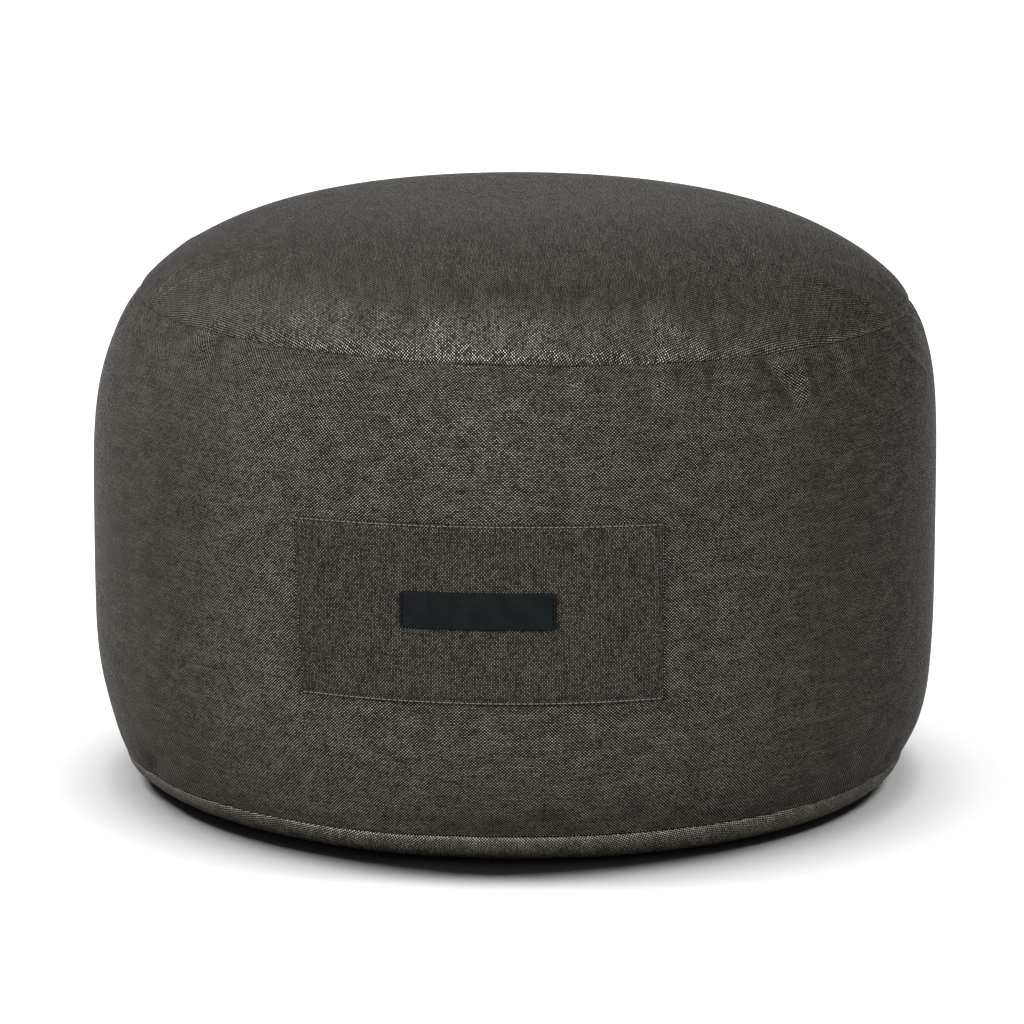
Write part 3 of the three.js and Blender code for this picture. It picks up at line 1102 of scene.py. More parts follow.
@dataclass
class SewnSheet:
    """A thin sheet sewn on the front of the band and curved with it.

    Left, right, top and bottom are its edges along the band's curve and in height. Its edge rolls over
    within round_over, and the seam presses a groove into it, along its ends only or all round.
    """

    body: Body
    relief: Relief
    name: str
    lay: float
    thickness: float
    edge_thickness: float
    left_top: float
    left_bottom: float
    right: float
    top: float
    bottom: float
    top_bow: float
    columns: int
    rows: int
    round_over: float
    corner: float
    groove: float
    groove_inset: float
    groove_reach: float
    ends_only: bool = False
    edge_steps: tuple[float, ...] = (0, 0.25, 0.6, 1.1, 1.8)
    inner_start: float = 1.6

    def size(self) -> tuple[float, float]:
        """Its width along its upper edge and its height."""
        return self.right - self.left_top, self.top - self.bottom

    def laid(self, share: Array, row_share: Array) -> tuple[Array, Array]:
        """Where places of the sheet lie on the band.

        Args:
            share: shares of its width.
            row_share: shares of its height.

        Returns:
            Distances along the band's curve, left negative, and heights.
        """
        left = self.left_bottom + (self.left_top - self.left_bottom) * row_share
        bow = self.top_bow * row_share * (1 - (2 * share - 1) ** 2)
        return left + (self.right - left) * share, self.bottom + self.size()[1] * row_share + bow

    def raised(self, across: Array, level: Array, proud: Array | float) -> Array:
        """Points that stand proud of where the sheet lies on the cloth.

        Args:
            across: distances along the band's curve, left negative.
            level: heights.
            proud: how far the points stand proud.

        Returns:
            The points.
        """
        turn = np.degrees(across / self.body.sizes.widest_radius)
        station = self.body.station_at_height(level)
        under = self.relief.rise(turn, station) + self.lay
        return self.body.point(turn, self.body.place(station), under + proud)

    def proud(self, from_side: Array, from_level: Array) -> Array:
        """How thick the sheet is.

        Args:
            from_side: distances from its upright edges.
            from_level: distances from its level edges.

        Returns:
            The thickness in metres.
        """
        from_edge = np.minimum(from_side, from_level)
        from_stitch_edge = from_side if self.ends_only else from_edge
        rolled = np.sqrt(np.clip(1 - (1 - np.clip(from_edge / self.round_over, 0, 1)) ** 2, 0, 1))
        sewn_in = self.groove * bell(from_stitch_edge - self.groove_inset, self.groove_reach)
        return self.edge_thickness + (self.thickness - self.edge_thickness) * rolled - sewn_in

    def shares(self, steps: int, length: float) -> Array:
        """Even shares with closer ones near both ends, where the edge rolls over.

        Args:
            steps: how many even shares.
            length: the sheet's length that way.

        Returns:
            The shares.
        """
        near = np.array(self.edge_steps) * self.round_over / length
        inner = np.linspace(near[-1] * self.inner_start, 1 - near[-1] * self.inner_start, steps)
        return np.concatenate([near, inner, (1 - near)[::-1]])

    def rounded(self, share: Array, row_share: Array) -> tuple[Array, Array]:
        """Draws the points near each corner in, so that the corner is round.

        Args:
            share: shares of its width.
            row_share: shares of its height.

        Returns:
            The new shares of its width and height.
        """
        width, height = self.size()
        x = np.minimum(share, 1 - share) * width
        y = np.minimum(row_share, 1 - row_share) * height
        near = (x < self.corner) & (y < self.corner)
        from_x, from_y = self.corner - x, self.corner - y
        size = np.maximum(np.hypot(from_x, from_y), 1e-9)
        corner_pull_and_rim_highlight = np.where(near, np.maximum(from_x, from_y) / size, 1.0)
        x = np.where(near, self.corner - from_x * corner_pull_and_rim_highlight, x)
        y = np.where(near, self.corner - from_y * corner_pull_and_rim_highlight, y)
        new_share = np.where(share < 0.5, x / width, 1 - x / width)
        new_row = np.where(row_share < 0.5, y / height, 1 - y / height)
        return new_share, new_row

    def build(self) -> bpy.types.Object:
        """Makes the sheet as a closed mesh.

        Returns:
            The finished object.
        """
        skin = Skin(self.name)
        width, height = self.size()
        row_share, share = np.meshgrid(
            self.shares(self.rows, height), self.shares(self.columns, width), indexing="ij"
        )
        share, row_share = self.rounded(share, row_share)
        across, level = self.laid(share, row_share)
        from_side = np.minimum(share, 1 - share) * width
        from_level = np.minimum(row_share, 1 - row_share) * height
        cloth = np.stack([level, across], axis=-1)
        outer = skin.add(self.raised(across, level, self.proud(from_side, from_level)))
        inner = skin.add(self.raised(across, level, 0.0))
        self._grid(skin, outer, cloth, outward=True)
        self._grid(skin, inner, cloth, outward=False)
        self._rim(skin, outer, inner, cloth)
        return skin.build()

    def stitches(self, name: str, sides: tuple[Side, ...], seam: Stitch) -> bpy.types.Object:
        """Sews the sheet down with short stitches inside its edge.

        Args:
            name: the stitches' name.
            sides: the sewn sides.
            seam: the stitch.

        Returns:
            All the stitches as one object.
        """
        skin = Skin(name)
        width, height = self.size()
        for side in sides:
            level_run = side in (Side.TOP, Side.BOTTOM)
            length = width if level_run else height
            count = int((length - 2 * seam.inset) / seam.pitch)
            middles = seam.inset + (np.arange(count) + 0.5) * (length - 2 * seam.inset) / count
            for middle in middles:
                run = middle + np.linspace(-seam.length / 2, seam.length / 2, seam.rings)
                inset = np.full_like(run, seam.inset)
                x = run if level_run else (inset if side is Side.LEFT else width - inset)
                y = run if not level_run else (inset if side is Side.BOTTOM else height - inset)
                self._thread(skin, seam, x / width, y / height, level_run)
        return skin.build()

    def _thread(self, skin: Skin, seam: Stitch, share: Array, row_share: Array, level_run: bool) -> None:
        """Adds one stitch.

        Args:
            skin: the skin to add to.
            seam: the stitch.
            share: the stitch's shares of the width.
            row_share: its shares of the height.
            level_run: whether it runs level, or else upright.
        """
        width, height = self.size()
        along = np.linspace(-1, 1, seam.rings)
        girth = seam.thread / 2 * np.sqrt(np.clip(1 - (along * seam.taper) ** 4, 0, 1))
        round_turn = np.arange(seam.sides) * 2 * math.pi / seam.sides
        side_step = np.outer(girth, np.cos(round_turn))
        lift_step = np.outer(girth, np.sin(round_turn))
        x = share[:, None] * np.ones(seam.sides) + (0 if level_run else side_step / width)
        y = row_share[:, None] * np.ones(seam.sides) + (side_step / height if level_run else 0)
        sunk = seam.sink + (seam.dip - seam.sink) * along**4
        points = self.raised(*self.laid(x, y), self.thickness - sunk[:, None] + lift_step)
        numbers = skin.add(points)
        tips = [skin.add(points[k].mean(axis=0).reshape(1, 3))[0] for k in (0, -1)]
        for near, far in zip(numbers, numbers[1:]):
            self._thread_faces(skin, [near, far, np.roll(far, -1), np.roll(near, -1)], level_run)
        for ring, tip, turned in ((numbers[0], tips[0], level_run), (numbers[-1], tips[1], not level_run)):
            self._thread_faces(skin, [ring, np.roll(ring, -1), np.full_like(ring, tip)], turned)

    def _thread_faces(self, skin: Skin, corners: list[Array], turned: bool) -> None:
        """Adds a ring of faces to a stitch, turned over where its run asks for it."""
        order = np.stack(corners[::-1] if turned else corners, axis=1)
        skin.face(order, np.zeros((order.size, 2)))

    def _grid(self, skin: Skin, numbers: Array, cloth: Array, outward: bool) -> None:
        """Adds one side's faces.

        Args:
            skin: the skin to add to.
            numbers: the side's point numbers.
            cloth: the cloth coordinates.
            outward: whether the side faces out.
        """
        order = [(0, 0), (0, 1), (1, 1), (1, 0)] if outward else [(0, 0), (1, 0), (1, 1), (0, 1)]
        rows, columns = numbers.shape
        parts = [numbers[r : rows - 1 + r, c : columns - 1 + c].ravel() for r, c in order]
        cloths = [cloth[r : rows - 1 + r, c : columns - 1 + c].reshape(-1, 2) for r, c in order]
        skin.face(np.stack(parts, axis=1), np.stack(cloths, axis=1), hidden=not outward)

    def _rim(self, skin: Skin, outer: Array, inner: Array, cloth: Array) -> None:
        """Joins both sides round the edge.

        Args:
            skin: the skin to add to.
            outer: the outer side's point numbers.
            inner: the inner side's point numbers.
            cloth: the cloth coordinates.
        """
        out, into, marks = (
            np.concatenate([grid[0, :-1], grid[:-1, -1], grid[-1, :0:-1], grid[:0:-1, 0]])
            for grid in (outer, inner, cloth)
        )
        corners = np.stack([into, np.roll(into, -1), np.roll(out, -1), out], axis=1)
        following = np.roll(marks, -1, axis=0)
        skin.face(corners, np.stack([marks, following, following, marks], axis=1))


class Writer:
    """Adds nodes to a node tree and joins them, so that a formula reads in order."""

    def __init__(self, tree: bpy.types.NodeTree) -> None:
        """Keeps the tree to write in."""
        self.tree = tree

    def node(self, kind: str, **settings: object) -> bpy.types.Node:
        """Adds a node.

        Args:
            kind: the node's kind.
            settings: its settings by name.

        Returns:
            The node.
        """
        made = self.tree.nodes.new(kind)
        for name, value in settings.items():
            setattr(made, name, value)
        return made

    def feed(self, node: bpy.types.Node, values: dict[str | int, object]) -> bpy.types.Node:
        """Joins a node's inputs to sockets, or sets their values.

        Args:
            node: the node.
            values: a socket or a value for each input, by name or number.

        Returns:
            The same node.
        """
        for name, value in values.items():
            if isinstance(value, bpy.types.NodeSocket):
                self.tree.links.new(value, node.inputs[name])
            else:
                node.inputs[name].default_value = value
        return node

    def maths(self, operation: str, *values: object, clamp: bool = False) -> bpy.types.NodeSocket:
        """Adds a Math node and gives its output."""
        made = self.node("ShaderNodeMath", operation=operation, use_clamp=clamp)
        return self.feed(made, dict(enumerate(values))).outputs[0]

    def times(self, *values: object) -> bpy.types.NodeSocket:
        """The product of two values."""
        return self.maths("MULTIPLY", *values)

    def less(self, *values: object) -> bpy.types.NodeSocket:
        """The first value less the second."""
        return self.maths("SUBTRACT", *values)

    def ramp(
        self, value: object, low: float, high: float, to_low: float = 0.0, to_high: float = 1.0
    ) -> bpy.types.NodeSocket:
        """Changes a value's range smoothly, and keeps it in the new one.

        Args:
            value: the value.
            low: where its old range starts.
            high: where it ends.
            to_low: where the new range starts.
            to_high: where it ends.

        Returns:
            The changed value.
        """
        made = self.node("ShaderNodeMapRange", interpolation_type="SMOOTHSTEP")
        given = {"Value": value, "From Min": low, "From Max": high, "To Min": to_low, "To Max": to_high}
        return self.feed(made, given).outputs[0]

    def around(self, value: object, by: float, low: float = 0.3, high: float = 0.7) -> bpy.types.NodeSocket:
        """A factor from 1 - by to 1 + by, as a value goes from low to high."""
        return self.ramp(value, low, high, 1 - by, 1 + by)

    def join(self, x: object, y: object) -> bpy.types.NodeSocket:
        """A vector of two values."""
        return self.feed(self.node("ShaderNodeCombineXYZ"), {0: x, 1: y}).outputs[0]

    def noise(self, place: object, scale: float, detail: float, flat: bool = True) -> bpy.types.NodeSocket:
        """A noise value between 0 and 1."""
        made = self.node("ShaderNodeTexNoise", noise_dimensions="2D" if flat else "3D")
        return self.feed(made, {"Vector": place, "Scale": scale, "Detail": detail}).outputs["Fac"]

    def stretched_noise(
        self, x: object, y: object, x_scale: float, y_scale: float, detail: float
    ) -> bpy.types.NodeSocket:
        """A noise value with a scale of its own along each of two directions."""
        return self.noise(self.join(self.times(x, x_scale), self.times(y, y_scale)), 1.0, detail)

    def mix(self, share: object, first: object, second: object) -> bpy.types.NodeSocket:
        """A mix of two colours."""
        made = self.node("ShaderNodeMix", data_type="RGBA")
        return self.feed(made, {"Factor": share, 6: first, 7: second}).outputs[2]

    def scaled(self, colour: object, by: object) -> bpy.types.NodeSocket:
        """A colour times a value."""
        made = self.node("ShaderNodeVectorMath", operation="SCALE")
        return self.feed(made, {0: colour, "Scale": by}).outputs[0]

    def bump(self, height: object, strength: float, distance: float) -> bpy.types.NodeSocket:
        """The normal of a raised pattern."""
        made = self.node("ShaderNodeBump")
        return self.feed(made, {"Strength": strength, "Distance": distance, "Height": height}).outputs[0]

    def cloth_place(self) -> bpy.types.NodeSocket:
        """The cloth's own coordinates."""
        return self.node("ShaderNodeUVMap", uv_map="cloth").outputs[0]


def new_material(name: str) -> tuple[bpy.types.Material, Writer, bpy.types.Node]:
    """Makes a material.

    Args:
        name: the material's name.

    Returns:
        The material, a writer for its nodes, and its shader.
    """
    made = bpy.data.materials.new(name)
    made.use_nodes = True
    return made, Writer(made.node_tree), made.node_tree.nodes["Principled BSDF"]


class WeaveGroup:
    """The plain weave as a node group: light weft over and under dark warp."""

    NAME = "plain_weave"
    INPUTS = {
        "Cloth": "NodeSocketVector",
        "Weft Pitch": "NodeSocketFloat",
        "Warp Pitch": "NodeSocketFloat",
        "Yarn Height": "NodeSocketFloat",
        "Crimp": "NodeSocketFloat",
        "Wander": "NodeSocketFloat",
    }
    OUTPUTS = ("Weft", "Height", "Depth", "Weft Tone", "Warp Tone", "Streak", "Cloud", "Speck")
    EDGE_SOFTNESS = 0.08
    # The yarns' drift: its scales along the weft and the warp
    DRIFTS = (55.0, 60.0)
    # Each tone's two scales and its detail
    WEFT_TONE = (300.0, 7.31, 1.5)
    WARP_TONE = (160.0, 5.17, 1.0)
    STREAK = (38.0, 0.8, 3.0)
    CLOUD = (60.0, 110.0, 4.0)

    def build(self) -> bpy.types.NodeTree:
        """Makes the group.

        Returns:
            The node tree, with its inputs and outputs named.
        """
        tree = bpy.data.node_groups.new(self.NAME, "ShaderNodeTree")
        for name, kind in self.INPUTS.items():
            tree.interface.new_socket(name=name, in_out="INPUT", socket_type=kind)
        for name in self.OUTPUTS:
            tree.interface.new_socket(name=name, in_out="OUTPUT", socket_type="NodeSocketFloat")
        self._write(Writer(tree))
        return tree

    def _write(self, w: Writer) -> None:
        """Writes the weave's formulas.

        Args:
            w: the writer.
        """
        given = w.node("NodeGroupInput").outputs
        cloth, wander, yarn, crimp = (given[name] for name in ("Cloth", "Wander", "Yarn Height", "Crimp"))
        along, over = w.feed(w.node("ShaderNodeSeparateXYZ"), {0: cloth}).outputs[:2]
        drift = w.less(w.noise(cloth, self.DRIFTS[0], 1.0), 0.5)
        drift_over = w.less(w.noise(w.join(over, along), self.DRIFTS[1], 1.0), 0.5)
        x = w.maths("MULTIPLY_ADD", drift, wander, w.maths("DIVIDE", along, given["Warp Pitch"]))
        y = w.maths("MULTIPLY_ADD", drift_over, wander, w.maths("DIVIDE", over, given["Weft Pitch"]))
        column, row = w.maths("FLOOR", x), w.maths("FLOOR", y)
        weft_height = self._yarn_height(w, x, row, w.less(y, row), w.times(crimp, -1.0), yarn)
        warp_height = self._yarn_height(w, y, column, w.less(x, column), crimp, yarn)
        height = w.maths("MAXIMUM", weft_height, warp_height)
        full = w.maths("ADD", yarn, crimp)
        lead = w.maths("DIVIDE", w.less(weft_height, warp_height), full)
        speck = w.node("ShaderNodeTexWhiteNoise", noise_dimensions="2D")
        w.feed(speck, {"Vector": w.join(column, row)})
        w.feed(w.node("NodeGroupOutput"), {
            "Weft": w.ramp(lead, -self.EDGE_SOFTNESS, self.EDGE_SOFTNESS),
            "Height": height,
            "Depth": w.maths("DIVIDE", height, full, clamp=True),
            "Weft Tone": w.stretched_noise(along, row, *self.WEFT_TONE),
            "Warp Tone": w.stretched_noise(over, column, *self.WARP_TONE),
            "Streak": w.stretched_noise(along, row, *self.STREAK),
            "Cloud": w.stretched_noise(along, over, *self.CLOUD),
            "Speck": speck.outputs["Value"],
        })

    def _yarn_height(
        self, w: Writer, run: object, index: object, share: object, crimp: object, yarn: object
    ) -> bpy.types.NodeSocket:
        """The height of one set of yarns.

        Args:
            w: the writer.
            run: the place along the yarns, counted in the yarns they cross.
            index: the yarn's own number.
            share: the place across the yarn, from 0 to 1.
            crimp: how far the yarns rise and fall as they cross.
            yarn: how high a yarn's round back is.

        Returns:
            The height in metres.
        """
        wave = w.maths("COSINE", w.times(w.maths("ADD", w.less(run, 0.5), index), math.pi))
        across = w.less(share, 0.5)
        back = w.less(1.0, w.times(w.times(across, across), 4.0))
        return w.maths("MULTIPLY_ADD", wave, crimp, w.times(back, yarn))


@dataclass(frozen=True)
class WovenFinish:
    """A matte plain weave of light, slightly glossy weft over dark warp."""

    name: str
    weft: Colour
    warp: Colour
    roughness: float = 0.42
    gap_shade: float = 0.02
    gap_depth: float = 0.32
    slub: float = 0.4
    warp_slub: float = 0.4
    streak: float = 0.16
    cloud: float = 0.14
    crease_highlight: float = 0.6
    speck: float = 0.35
    glint: float = 1.0
    shine: Colour = (0.115, 0.112, 0.106)
    rim_highlight_gain: float = 2.0
    gloss: float = 0.02
    edge_shine: float = 0.2
    crown_start: float = 0.6
    crown_full: float = 0.95
    glint_power: float = 2.0
    glint_gain: float = 2.0
    glint_stretch: float = 0.8
    glint_turn: float = 0.25
    yarn_range: tuple[float, float] = (0.28, 0.72)
    weft_pitch: float = 0.9 * MM
    warp_pitch: float = 0.985 * MM
    yarn_height: float = 0.26 * MM
    crimp: float = 0.13 * MM
    wander: float = 0.2

    def material(self, weave: bpy.types.NodeTree) -> bpy.types.Material:
        """Makes the finish's material.

        Args:
            weave: the weave's node group.

        Returns:
            The new material.
        """
        made, w, shader = new_material(self.name)
        out = w.feed(w.node("ShaderNodeGroup", node_tree=weave), {
            "Cloth": w.cloth_place(),
            "Weft Pitch": self.weft_pitch,
            "Warp Pitch": self.warp_pitch,
            "Yarn Height": self.yarn_height,
            "Crimp": self.crimp,
            "Wander": self.wander,
        }).outputs
        slub = w.around(out["Weft Tone"], self.slub, *self.yarn_range)
        weft = w.scaled(self.weft, w.times(slub, w.around(out["Speck"], self.speck, 0.0, 1.0)))
        warp = w.scaled(self.warp, w.around(out["Warp Tone"], self.warp_slub, *self.yarn_range))
        yarn = w.mix(out["Weft"], warp, weft)
        # Painted shade: the yarns' colour darkens into the gaps between them
        shade = w.ramp(out["Depth"], self.gap_depth, 1.0, self.gap_shade, 1.0)
        streak = w.around(out["Streak"], self.streak)
        cloud = w.around(out["Cloud"], self.cloud)
        creased = w.node("ShaderNodeAttribute", attribute_name="creased").outputs["Fac"]
        # Painted highlight: the colour is painted lighter along the crests of creased folds
        wear_and_crease_highlight = w.maths("MULTIPLY_ADD", creased, self.crease_highlight, 1.0)
        tone = w.times(w.times(shade, streak), w.times(cloud, wear_and_crease_highlight))
        crown = w.ramp(out["Depth"], self.crown_start, self.crown_full)
        bright = w.times(w.maths("POWER", out["Speck"], self.glint_power), self.glint_gain)
        lit = w.maths("MULTIPLY", w.times(crown, out["Weft"]), bright, clamp=True)
        # Painted highlight: the glinting crowns' colour is painted up to three times lighter over the front
        # of the rim
        corner_pull_and_rim_highlight = w.node("ShaderNodeAttribute", attribute_name="corner_pull_and_rim_highlight").outputs["Fac"]
        shine = w.scaled(self.shine, w.maths("MULTIPLY_ADD", corner_pull_and_rim_highlight, self.rim_highlight_gain, 1.0))
        w.feed(shader, {
            "Base Color": w.scaled(w.mix(lit, yarn, shine), tone),
            "Roughness": w.maths("MULTIPLY_ADD", out["Weft"], self.roughness - 1.0, 1.0),
            "Metallic": w.times(lit, self.glint),
            "Tangent": w.node("ShaderNodeTangent", direction_type="UV_MAP", uv_map="cloth").outputs[0],
            "Anisotropic": self.glint_stretch,
            "Anisotropic Rotation": self.glint_turn,
            "Normal": w.bump(out["Height"], 1.0, 1.0),
            "Specular IOR Level": self.gloss,
            "Specular Tint": (self.edge_shine, self.edge_shine, self.edge_shine, 1),
        })
        return made


@dataclass(frozen=True)
class LabelFinish:
    """A blue-black leather-like face with a fine grain and rubbed, satin high spots."""

    name: str
    face: Colour
    wear_and_crease_highlight: Colour
    worn_scale: float = 90.0
    roughness: tuple[float, float] = (0.44, 0.58)
    gloss: float = 0.03
    grain_scale: float = 1400.0
    grain_strength: float = 0.35
    grain_depth: float = 0.05 * MM

    def material(self) -> bpy.types.Material:
        """Makes the finish's material.

        Returns:
            The new material.
        """
        made, w, shader = new_material(self.name)
        place = w.cloth_place()
        grain = w.node("ShaderNodeTexVoronoi", feature="F1", voronoi_dimensions="2D")
        w.feed(grain, {"Vector": place, "Scale": self.grain_scale})
        soft = w.noise(place, self.worn_scale, 3.0)
        w.feed(shader, {
            "Base Color": w.mix(w.ramp(soft, 0.35, 0.75), (*self.face, 1), (*self.wear_and_crease_highlight, 1)),
            "Roughness": w.ramp(soft, 0.3, 0.7, *self.roughness),
            "Normal": w.bump(grain.outputs["Distance"], self.grain_strength, self.grain_depth),
            "Specular IOR Level": self.gloss,
        })
        return made


@dataclass(frozen=True)
class ThreadFinish:
    """A twisted sewing thread."""

    name: str
    colour: Colour
    roughness: tuple[float, float] = (0.5, 0.7)
    gloss: float = 0.2
    twist: float = 0.3
    twist_scale: float = 2600.0
    twist_strength: float = 0.4
    twist_depth: float = 0.05 * MM

    def material(self) -> bpy.types.Material:
        """Makes the finish's material.

        Returns:
            The new material.
        """
        made, w, shader = new_material(self.name)
        place = w.node("ShaderNodeTexCoord").outputs["Object"]
        twist = w.noise(place, self.twist_scale, 1.0, flat=False)
        w.feed(shader, {
            "Base Color": w.scaled(self.colour, w.around(twist, self.twist)),
            "Roughness": w.ramp(twist, 0.3, 0.7, *self.roughness),
            "Normal": w.bump(twist, self.twist_strength, self.twist_depth),
            "Specular IOR Level": self.gloss,
        })
        return made


@dataclass(frozen=True)
class Lamp:
    """A large soft lamp, far away, that throws parallel light.

    Its turn is about Z from the front towards +X, its lift is above the level and its spread is how wide it
    looks from the body, all in degrees. Its strength is its light on a surface that faces it.
    """

    name: str
    turn: float
    lift: float
    spread: float
    strength: float
    away: float = 3.0

    def hang(self) -> bpy.types.Object:
        """Hangs the lamp.

        Returns:
            The lamp.
        """
        data = bpy.data.lights.new(self.name, "SUN")
        data.angle = math.radians(self.spread)
        data.energy = self.strength
        shown = new_object(self.name, data)
        turn, lift = math.radians(self.turn), math.radians(self.lift)
        way = Vector((math.sin(turn) * math.cos(lift), -math.cos(turn) * math.cos(lift), math.sin(lift)))
        shown.location = way * self.away
        shown.rotation_euler = way.to_track_quat("Z", "Y").to_euler()
        return shown


@dataclass(frozen=True)
class Studio:
    """A pale floor, soft light and the camera at the photograph's angle."""

    camera_turn: float = 4.7
    camera_reach: float = 3.0
    camera_height: float = 0.7924
    camera_pitch: float = 11.981
    focal_pixels: float = 5141.8
    axis_pixel: float = 515.0
    picture_pixels: int = 1024
    sensor: float = 36.0
    camera_sight: float = 50.0
    surround: float = 0.27
    floor_half: float = 12.0
    floor_level: float = -0.05 * MM
    floor_shade: float = 0.1
    floor_roughness: float = 0.7
    floor_gloss: float = 0.2
    body_lamps: tuple[Lamp, ...] = (
        Lamp("front_left_softbox", -41.0, 25.0, 22.0, 6.4),
        Lamp("front_right_softbox", 46.0, 25.0, 22.0, 5.3),
        Lamp("high_left_softbox", -36.0, 52.0, 22.0, 2.1),
        Lamp("high_right_softbox", 38.0, 52.0, 22.0, 0.9),
        Lamp("left_softbox", -105.0, 25.0, 22.0, 1.3),
        Lamp("back_left_softbox", -140.0, 22.0, 22.0, 1.9),
        Lamp("back_softbox", 180.0, 30.0, 22.0, 0.6),
        Lamp("low_back_softbox", 180.0, 12.0, 22.0, 0.14),
    )
    floor_lamps: tuple[Lamp, ...] = (
        Lamp("floor_left_high", -106.0, 80.0, 18.0, 7.0),
        Lamp("floor_left_low", -104.0, 56.0, 22.0, 14.0),
        Lamp("floor_right_high", 106.0, 80.0, 18.0, 6.5),
        Lamp("floor_right_low", 104.0, 56.0, 22.0, 12.0),
        Lamp("floor_back_high", 180.0, 84.0, 16.0, 8.0),
    )

    def camera(self) -> None:
        """Sets up the camera."""
        data = bpy.data.cameras.new("camera")
        data.sensor_width = self.sensor
        data.lens = self.focal_pixels * self.sensor / self.picture_pixels
        data.shift_x = (self.picture_pixels / 2 - self.axis_pixel) / self.picture_pixels
        data.clip_end = self.camera_sight
        shown = new_object("camera", data)
        turn = math.radians(self.camera_turn)
        shown.location = (
            self.camera_reach * math.sin(turn), -self.camera_reach * math.cos(turn), self.camera_height
        )
        shown.rotation_euler = (math.radians(90 - self.camera_pitch), 0.0, turn)
        bpy.context.scene.camera = shown

    def floor(self) -> bpy.types.Object:
        """Lays the floor.

        Returns:
            The floor.
        """
        half = self.floor_half
        corners = ((-half, -half), (half, -half), (half, half), (-half, half))
        mesh = bpy.data.meshes.new("floor")
        mesh.from_pydata([(x, y, self.floor_level) for x, y in corners], [], [(0, 1, 2, 3)])
        shown = new_object("floor", mesh)
        made, w, shader = new_material("pale_floor")
        w.feed(shader, {
            "Base Color": (self.floor_shade, self.floor_shade, self.floor_shade, 1),
            "Roughness": self.floor_roughness,
            "Specular IOR Level": self.floor_gloss,
        })
        mesh.materials.append(made)
        return shown

    def light(self, floor: bpy.types.Object) -> None:
        """Sets up the white surroundings, and lamps of their own for the body and the floor.

        The floor is lit apart, so that only a short shadow lies under the belly.

        Args:
            floor: the floor.
        """
        scene = bpy.context.scene
        scene.world = bpy.data.worlds.new("white_studio")
        scene.world.use_nodes = True
        Writer(scene.world.node_tree).feed(
            scene.world.node_tree.nodes["Background"], {"Color": (1, 1, 1, 1), "Strength": self.surround}
        )
        scene.view_settings.view_transform = "Standard"
        # The noise filter takes its guide passes as they are: smoothed, they wipe the weave off the rim
        scene.cycles.denoising_prefilter = "NONE"
        only_floor = bpy.data.collections.new("floor_light")
        only_floor.objects.link(floor)
        not_floor = bpy.data.collections.new("body_light")
        not_floor.objects.link(floor)
        not_floor.collection_objects[0].light_linking.link_state = "EXCLUDE"
        for lamps, lit in ((self.body_lamps, not_floor), (self.floor_lamps, only_floor)):
            for lamp in lamps:
                lamp.hang().light_linking.receiver_collection = lit


BAND_WEAVE = WovenFinish("band_weave", weft=(0.0808, 0.0703, 0.0548), warp=(0.0031, 0.0026, 0.0018))
# The underside is the band's cloth with its weft and shine painted lighter: painted light on the strip
# turned up under the base seam
BASE_LIT_WEAVE = WovenFinish(
    "base_lit_weave", weft=(0.175, 0.154, 0.123), warp=(0.0031, 0.0026, 0.0018), shine=(0.2, 0.195, 0.184)
)
# The patch is the band's cloth turned a quarter, its colours painted darker: painted shade for the glints
# its upright weft catches less
PATCH_SHADED_WEAVE = WovenFinish(
    "patch_shaded_weave",
    weft=(0.0355, 0.031, 0.0243),
    warp=(0.0125, 0.0109, 0.0086),
    slub=0.3,
    speck=0.25,
    cloud=0.08,
    glint=0.25,
    shine=(0.08, 0.078, 0.074),
)
LABEL_FACE = LabelFinish("label_face", face=(0.0019, 0.0026, 0.0027), wear_and_crease_highlight=(0.0026, 0.0034, 0.0035))
# The side stitches are the patch's thread painted darker: painted shade in the grooves along the patch's
# sides
PATCH_SIDE_SHADED_THREAD = ThreadFinish("patch_side_shaded_thread", colour=(0.012, 0.011, 0.009))
PATCH_THREAD = ThreadFinish("patch_thread", colour=(0.06, 0.056, 0.049))
LABEL_THREAD = ThreadFinish("label_thread", colour=(0.0006, 0.0007, 0.0008), gloss=0.02)

PATCH_STITCH = Stitch()
PATCH_SIDE_STITCH = Stitch(inset=2.0 * MM, thread=0.4 * MM, sink=0.35 * MM)
LABEL_STITCH = Stitch(inset=1.7 * MM, pitch=3.0 * MM, length=2.3 * MM, thread=0.5 * MM, sink=0.15 * MM)


def sew(stitches: bpy.types.Object, thread: ThreadFinish) -> None:
    """Gives a row of stitches its thread and its place in the frame.

    Args:
        stitches: the stitches.
        thread: their finish.
    """
    stitches.data.materials.append(thread.material())
    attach(stitches, "root")
    log.info("%s: %d faces", stitches.name, len(stitches.data.polygons))


def dress(piece: bpy.types.Object, node: str, material: bpy.types.Material) -> None:
    """Gives a piece its finish and its place in the frame.

    Args:
        piece: the piece.
        node: the solid it stands for.
        material: its material.
    """
    piece.data.materials.append(material)
    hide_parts(node)
    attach(piece, "root")
    log.info("%s: %d points, %d faces", piece.name, len(piece.data.vertices), len(piece.data.polygons))


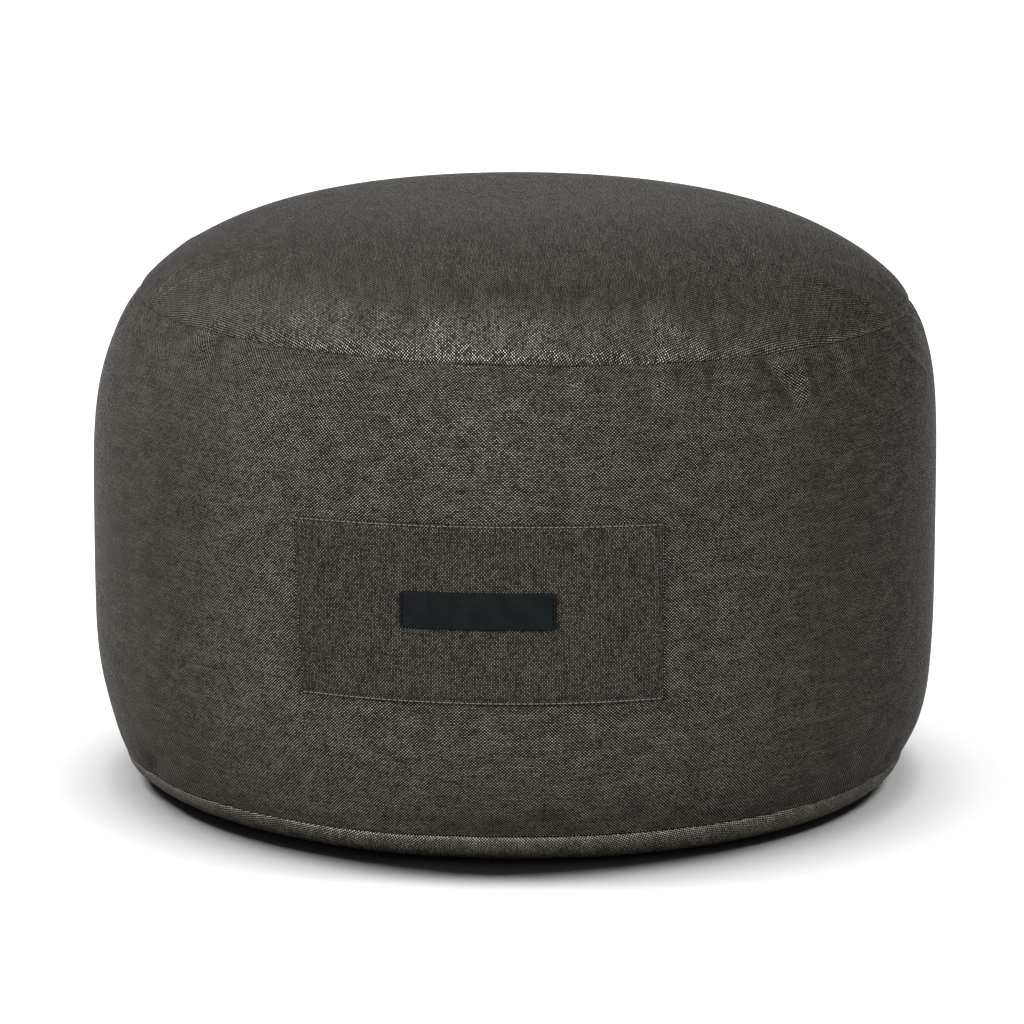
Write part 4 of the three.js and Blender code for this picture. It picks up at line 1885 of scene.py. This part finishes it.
def patch_sheet(body: Body, relief: Relief) -> SewnSheet:
    """The patch on the front of the band, sewn a little out of square.

    Args:
        body: the filled body.
        relief: the cloth's relief.

    Returns:
        The patch, not yet built.
    """
    return SewnSheet(
        body=body,
        relief=relief,
        name="patch_cloth",
        lay=0.3 * MM,
        thickness=2.0 * MM,
        edge_thickness=1.2 * MM,
        left_top=-107.8 * MM,
        left_bottom=-102.5 * MM,
        right=103.8 * MM,
        top=200.2 * MM,
        bottom=100 * MM,
        top_bow=1.2 * MM,
        columns=200,
        rows=96,
        round_over=1.0 * MM,
        corner=1.2 * MM,
        groove=0.9 * MM,
        groove_inset=2.0 * MM,
        groove_reach=1.1 * MM,
    )


def label_sheet(body: Body, relief: Relief) -> SewnSheet:
    """The bare label on the middle of the patch.

    Args:
        body: the filled body.
        relief: the cloth's relief.

    Returns:
        The label, not yet built.
    """
    return SewnSheet(
        body=body,
        relief=relief,
        name="label_strip",
        lay=2.6 * MM,
        thickness=1.4 * MM,
        edge_thickness=0.9 * MM,
        left_top=-43 * MM,
        left_bottom=-43 * MM,
        right=43 * MM,
        top=163.4 * MM,
        bottom=142.9 * MM,
        top_bow=0.0,
        columns=90,
        rows=24,
        round_over=0.6 * MM,
        corner=1.6 * MM,
        groove=0.45 * MM,
        groove_inset=1.7 * MM,
        groove_reach=0.7 * MM,
        ends_only=True,
    )


def main() -> None:
    """Builds the pieces in order, dresses them and sets the studio."""
    logging.basicConfig(level=logging.INFO, format="%(name)s: %(message)s")
    body = Body(BodySizes())
    relief = Relief(body)
    relief = Relief(body, PressedCloth().simulate(body, relief))
    weave = WeaveGroup().build()
    cloth = BAND_WEAVE.material(weave)
    base_cloth = BASE_LIT_WEAVE.material(weave)
    top = TopPanel(body, relief).build()
    dress(top, "top_panel", cloth)
    band = SideBand(body, relief).build()
    dress(band, "side_band", cloth)
    base = BasePanel(body, relief).build()
    dress(base, "base_panel", base_cloth)
    patch_shape = patch_sheet(body, relief)
    patch = patch_shape.build()
    dress(patch, "front_patch", PATCH_SHADED_WEAVE.material(weave))
    label_shape = label_sheet(body, relief)
    label = label_shape.build()
    dress(label, "front_label", LABEL_FACE.material())
    sew(patch_shape.stitches("patch_stitches", (Side.TOP, Side.BOTTOM), PATCH_STITCH), PATCH_THREAD)
    sides = (Side.LEFT, Side.RIGHT)
    sew(patch_shape.stitches("patch_side_stitches", sides, PATCH_SIDE_STITCH), PATCH_SIDE_SHADED_THREAD)
    sew(label_shape.stitches("label_stitches", sides, LABEL_STITCH), LABEL_THREAD)
    studio = Studio()
    studio.light(studio.floor())
    studio.camera()


if __name__ == "__main__":
    main()
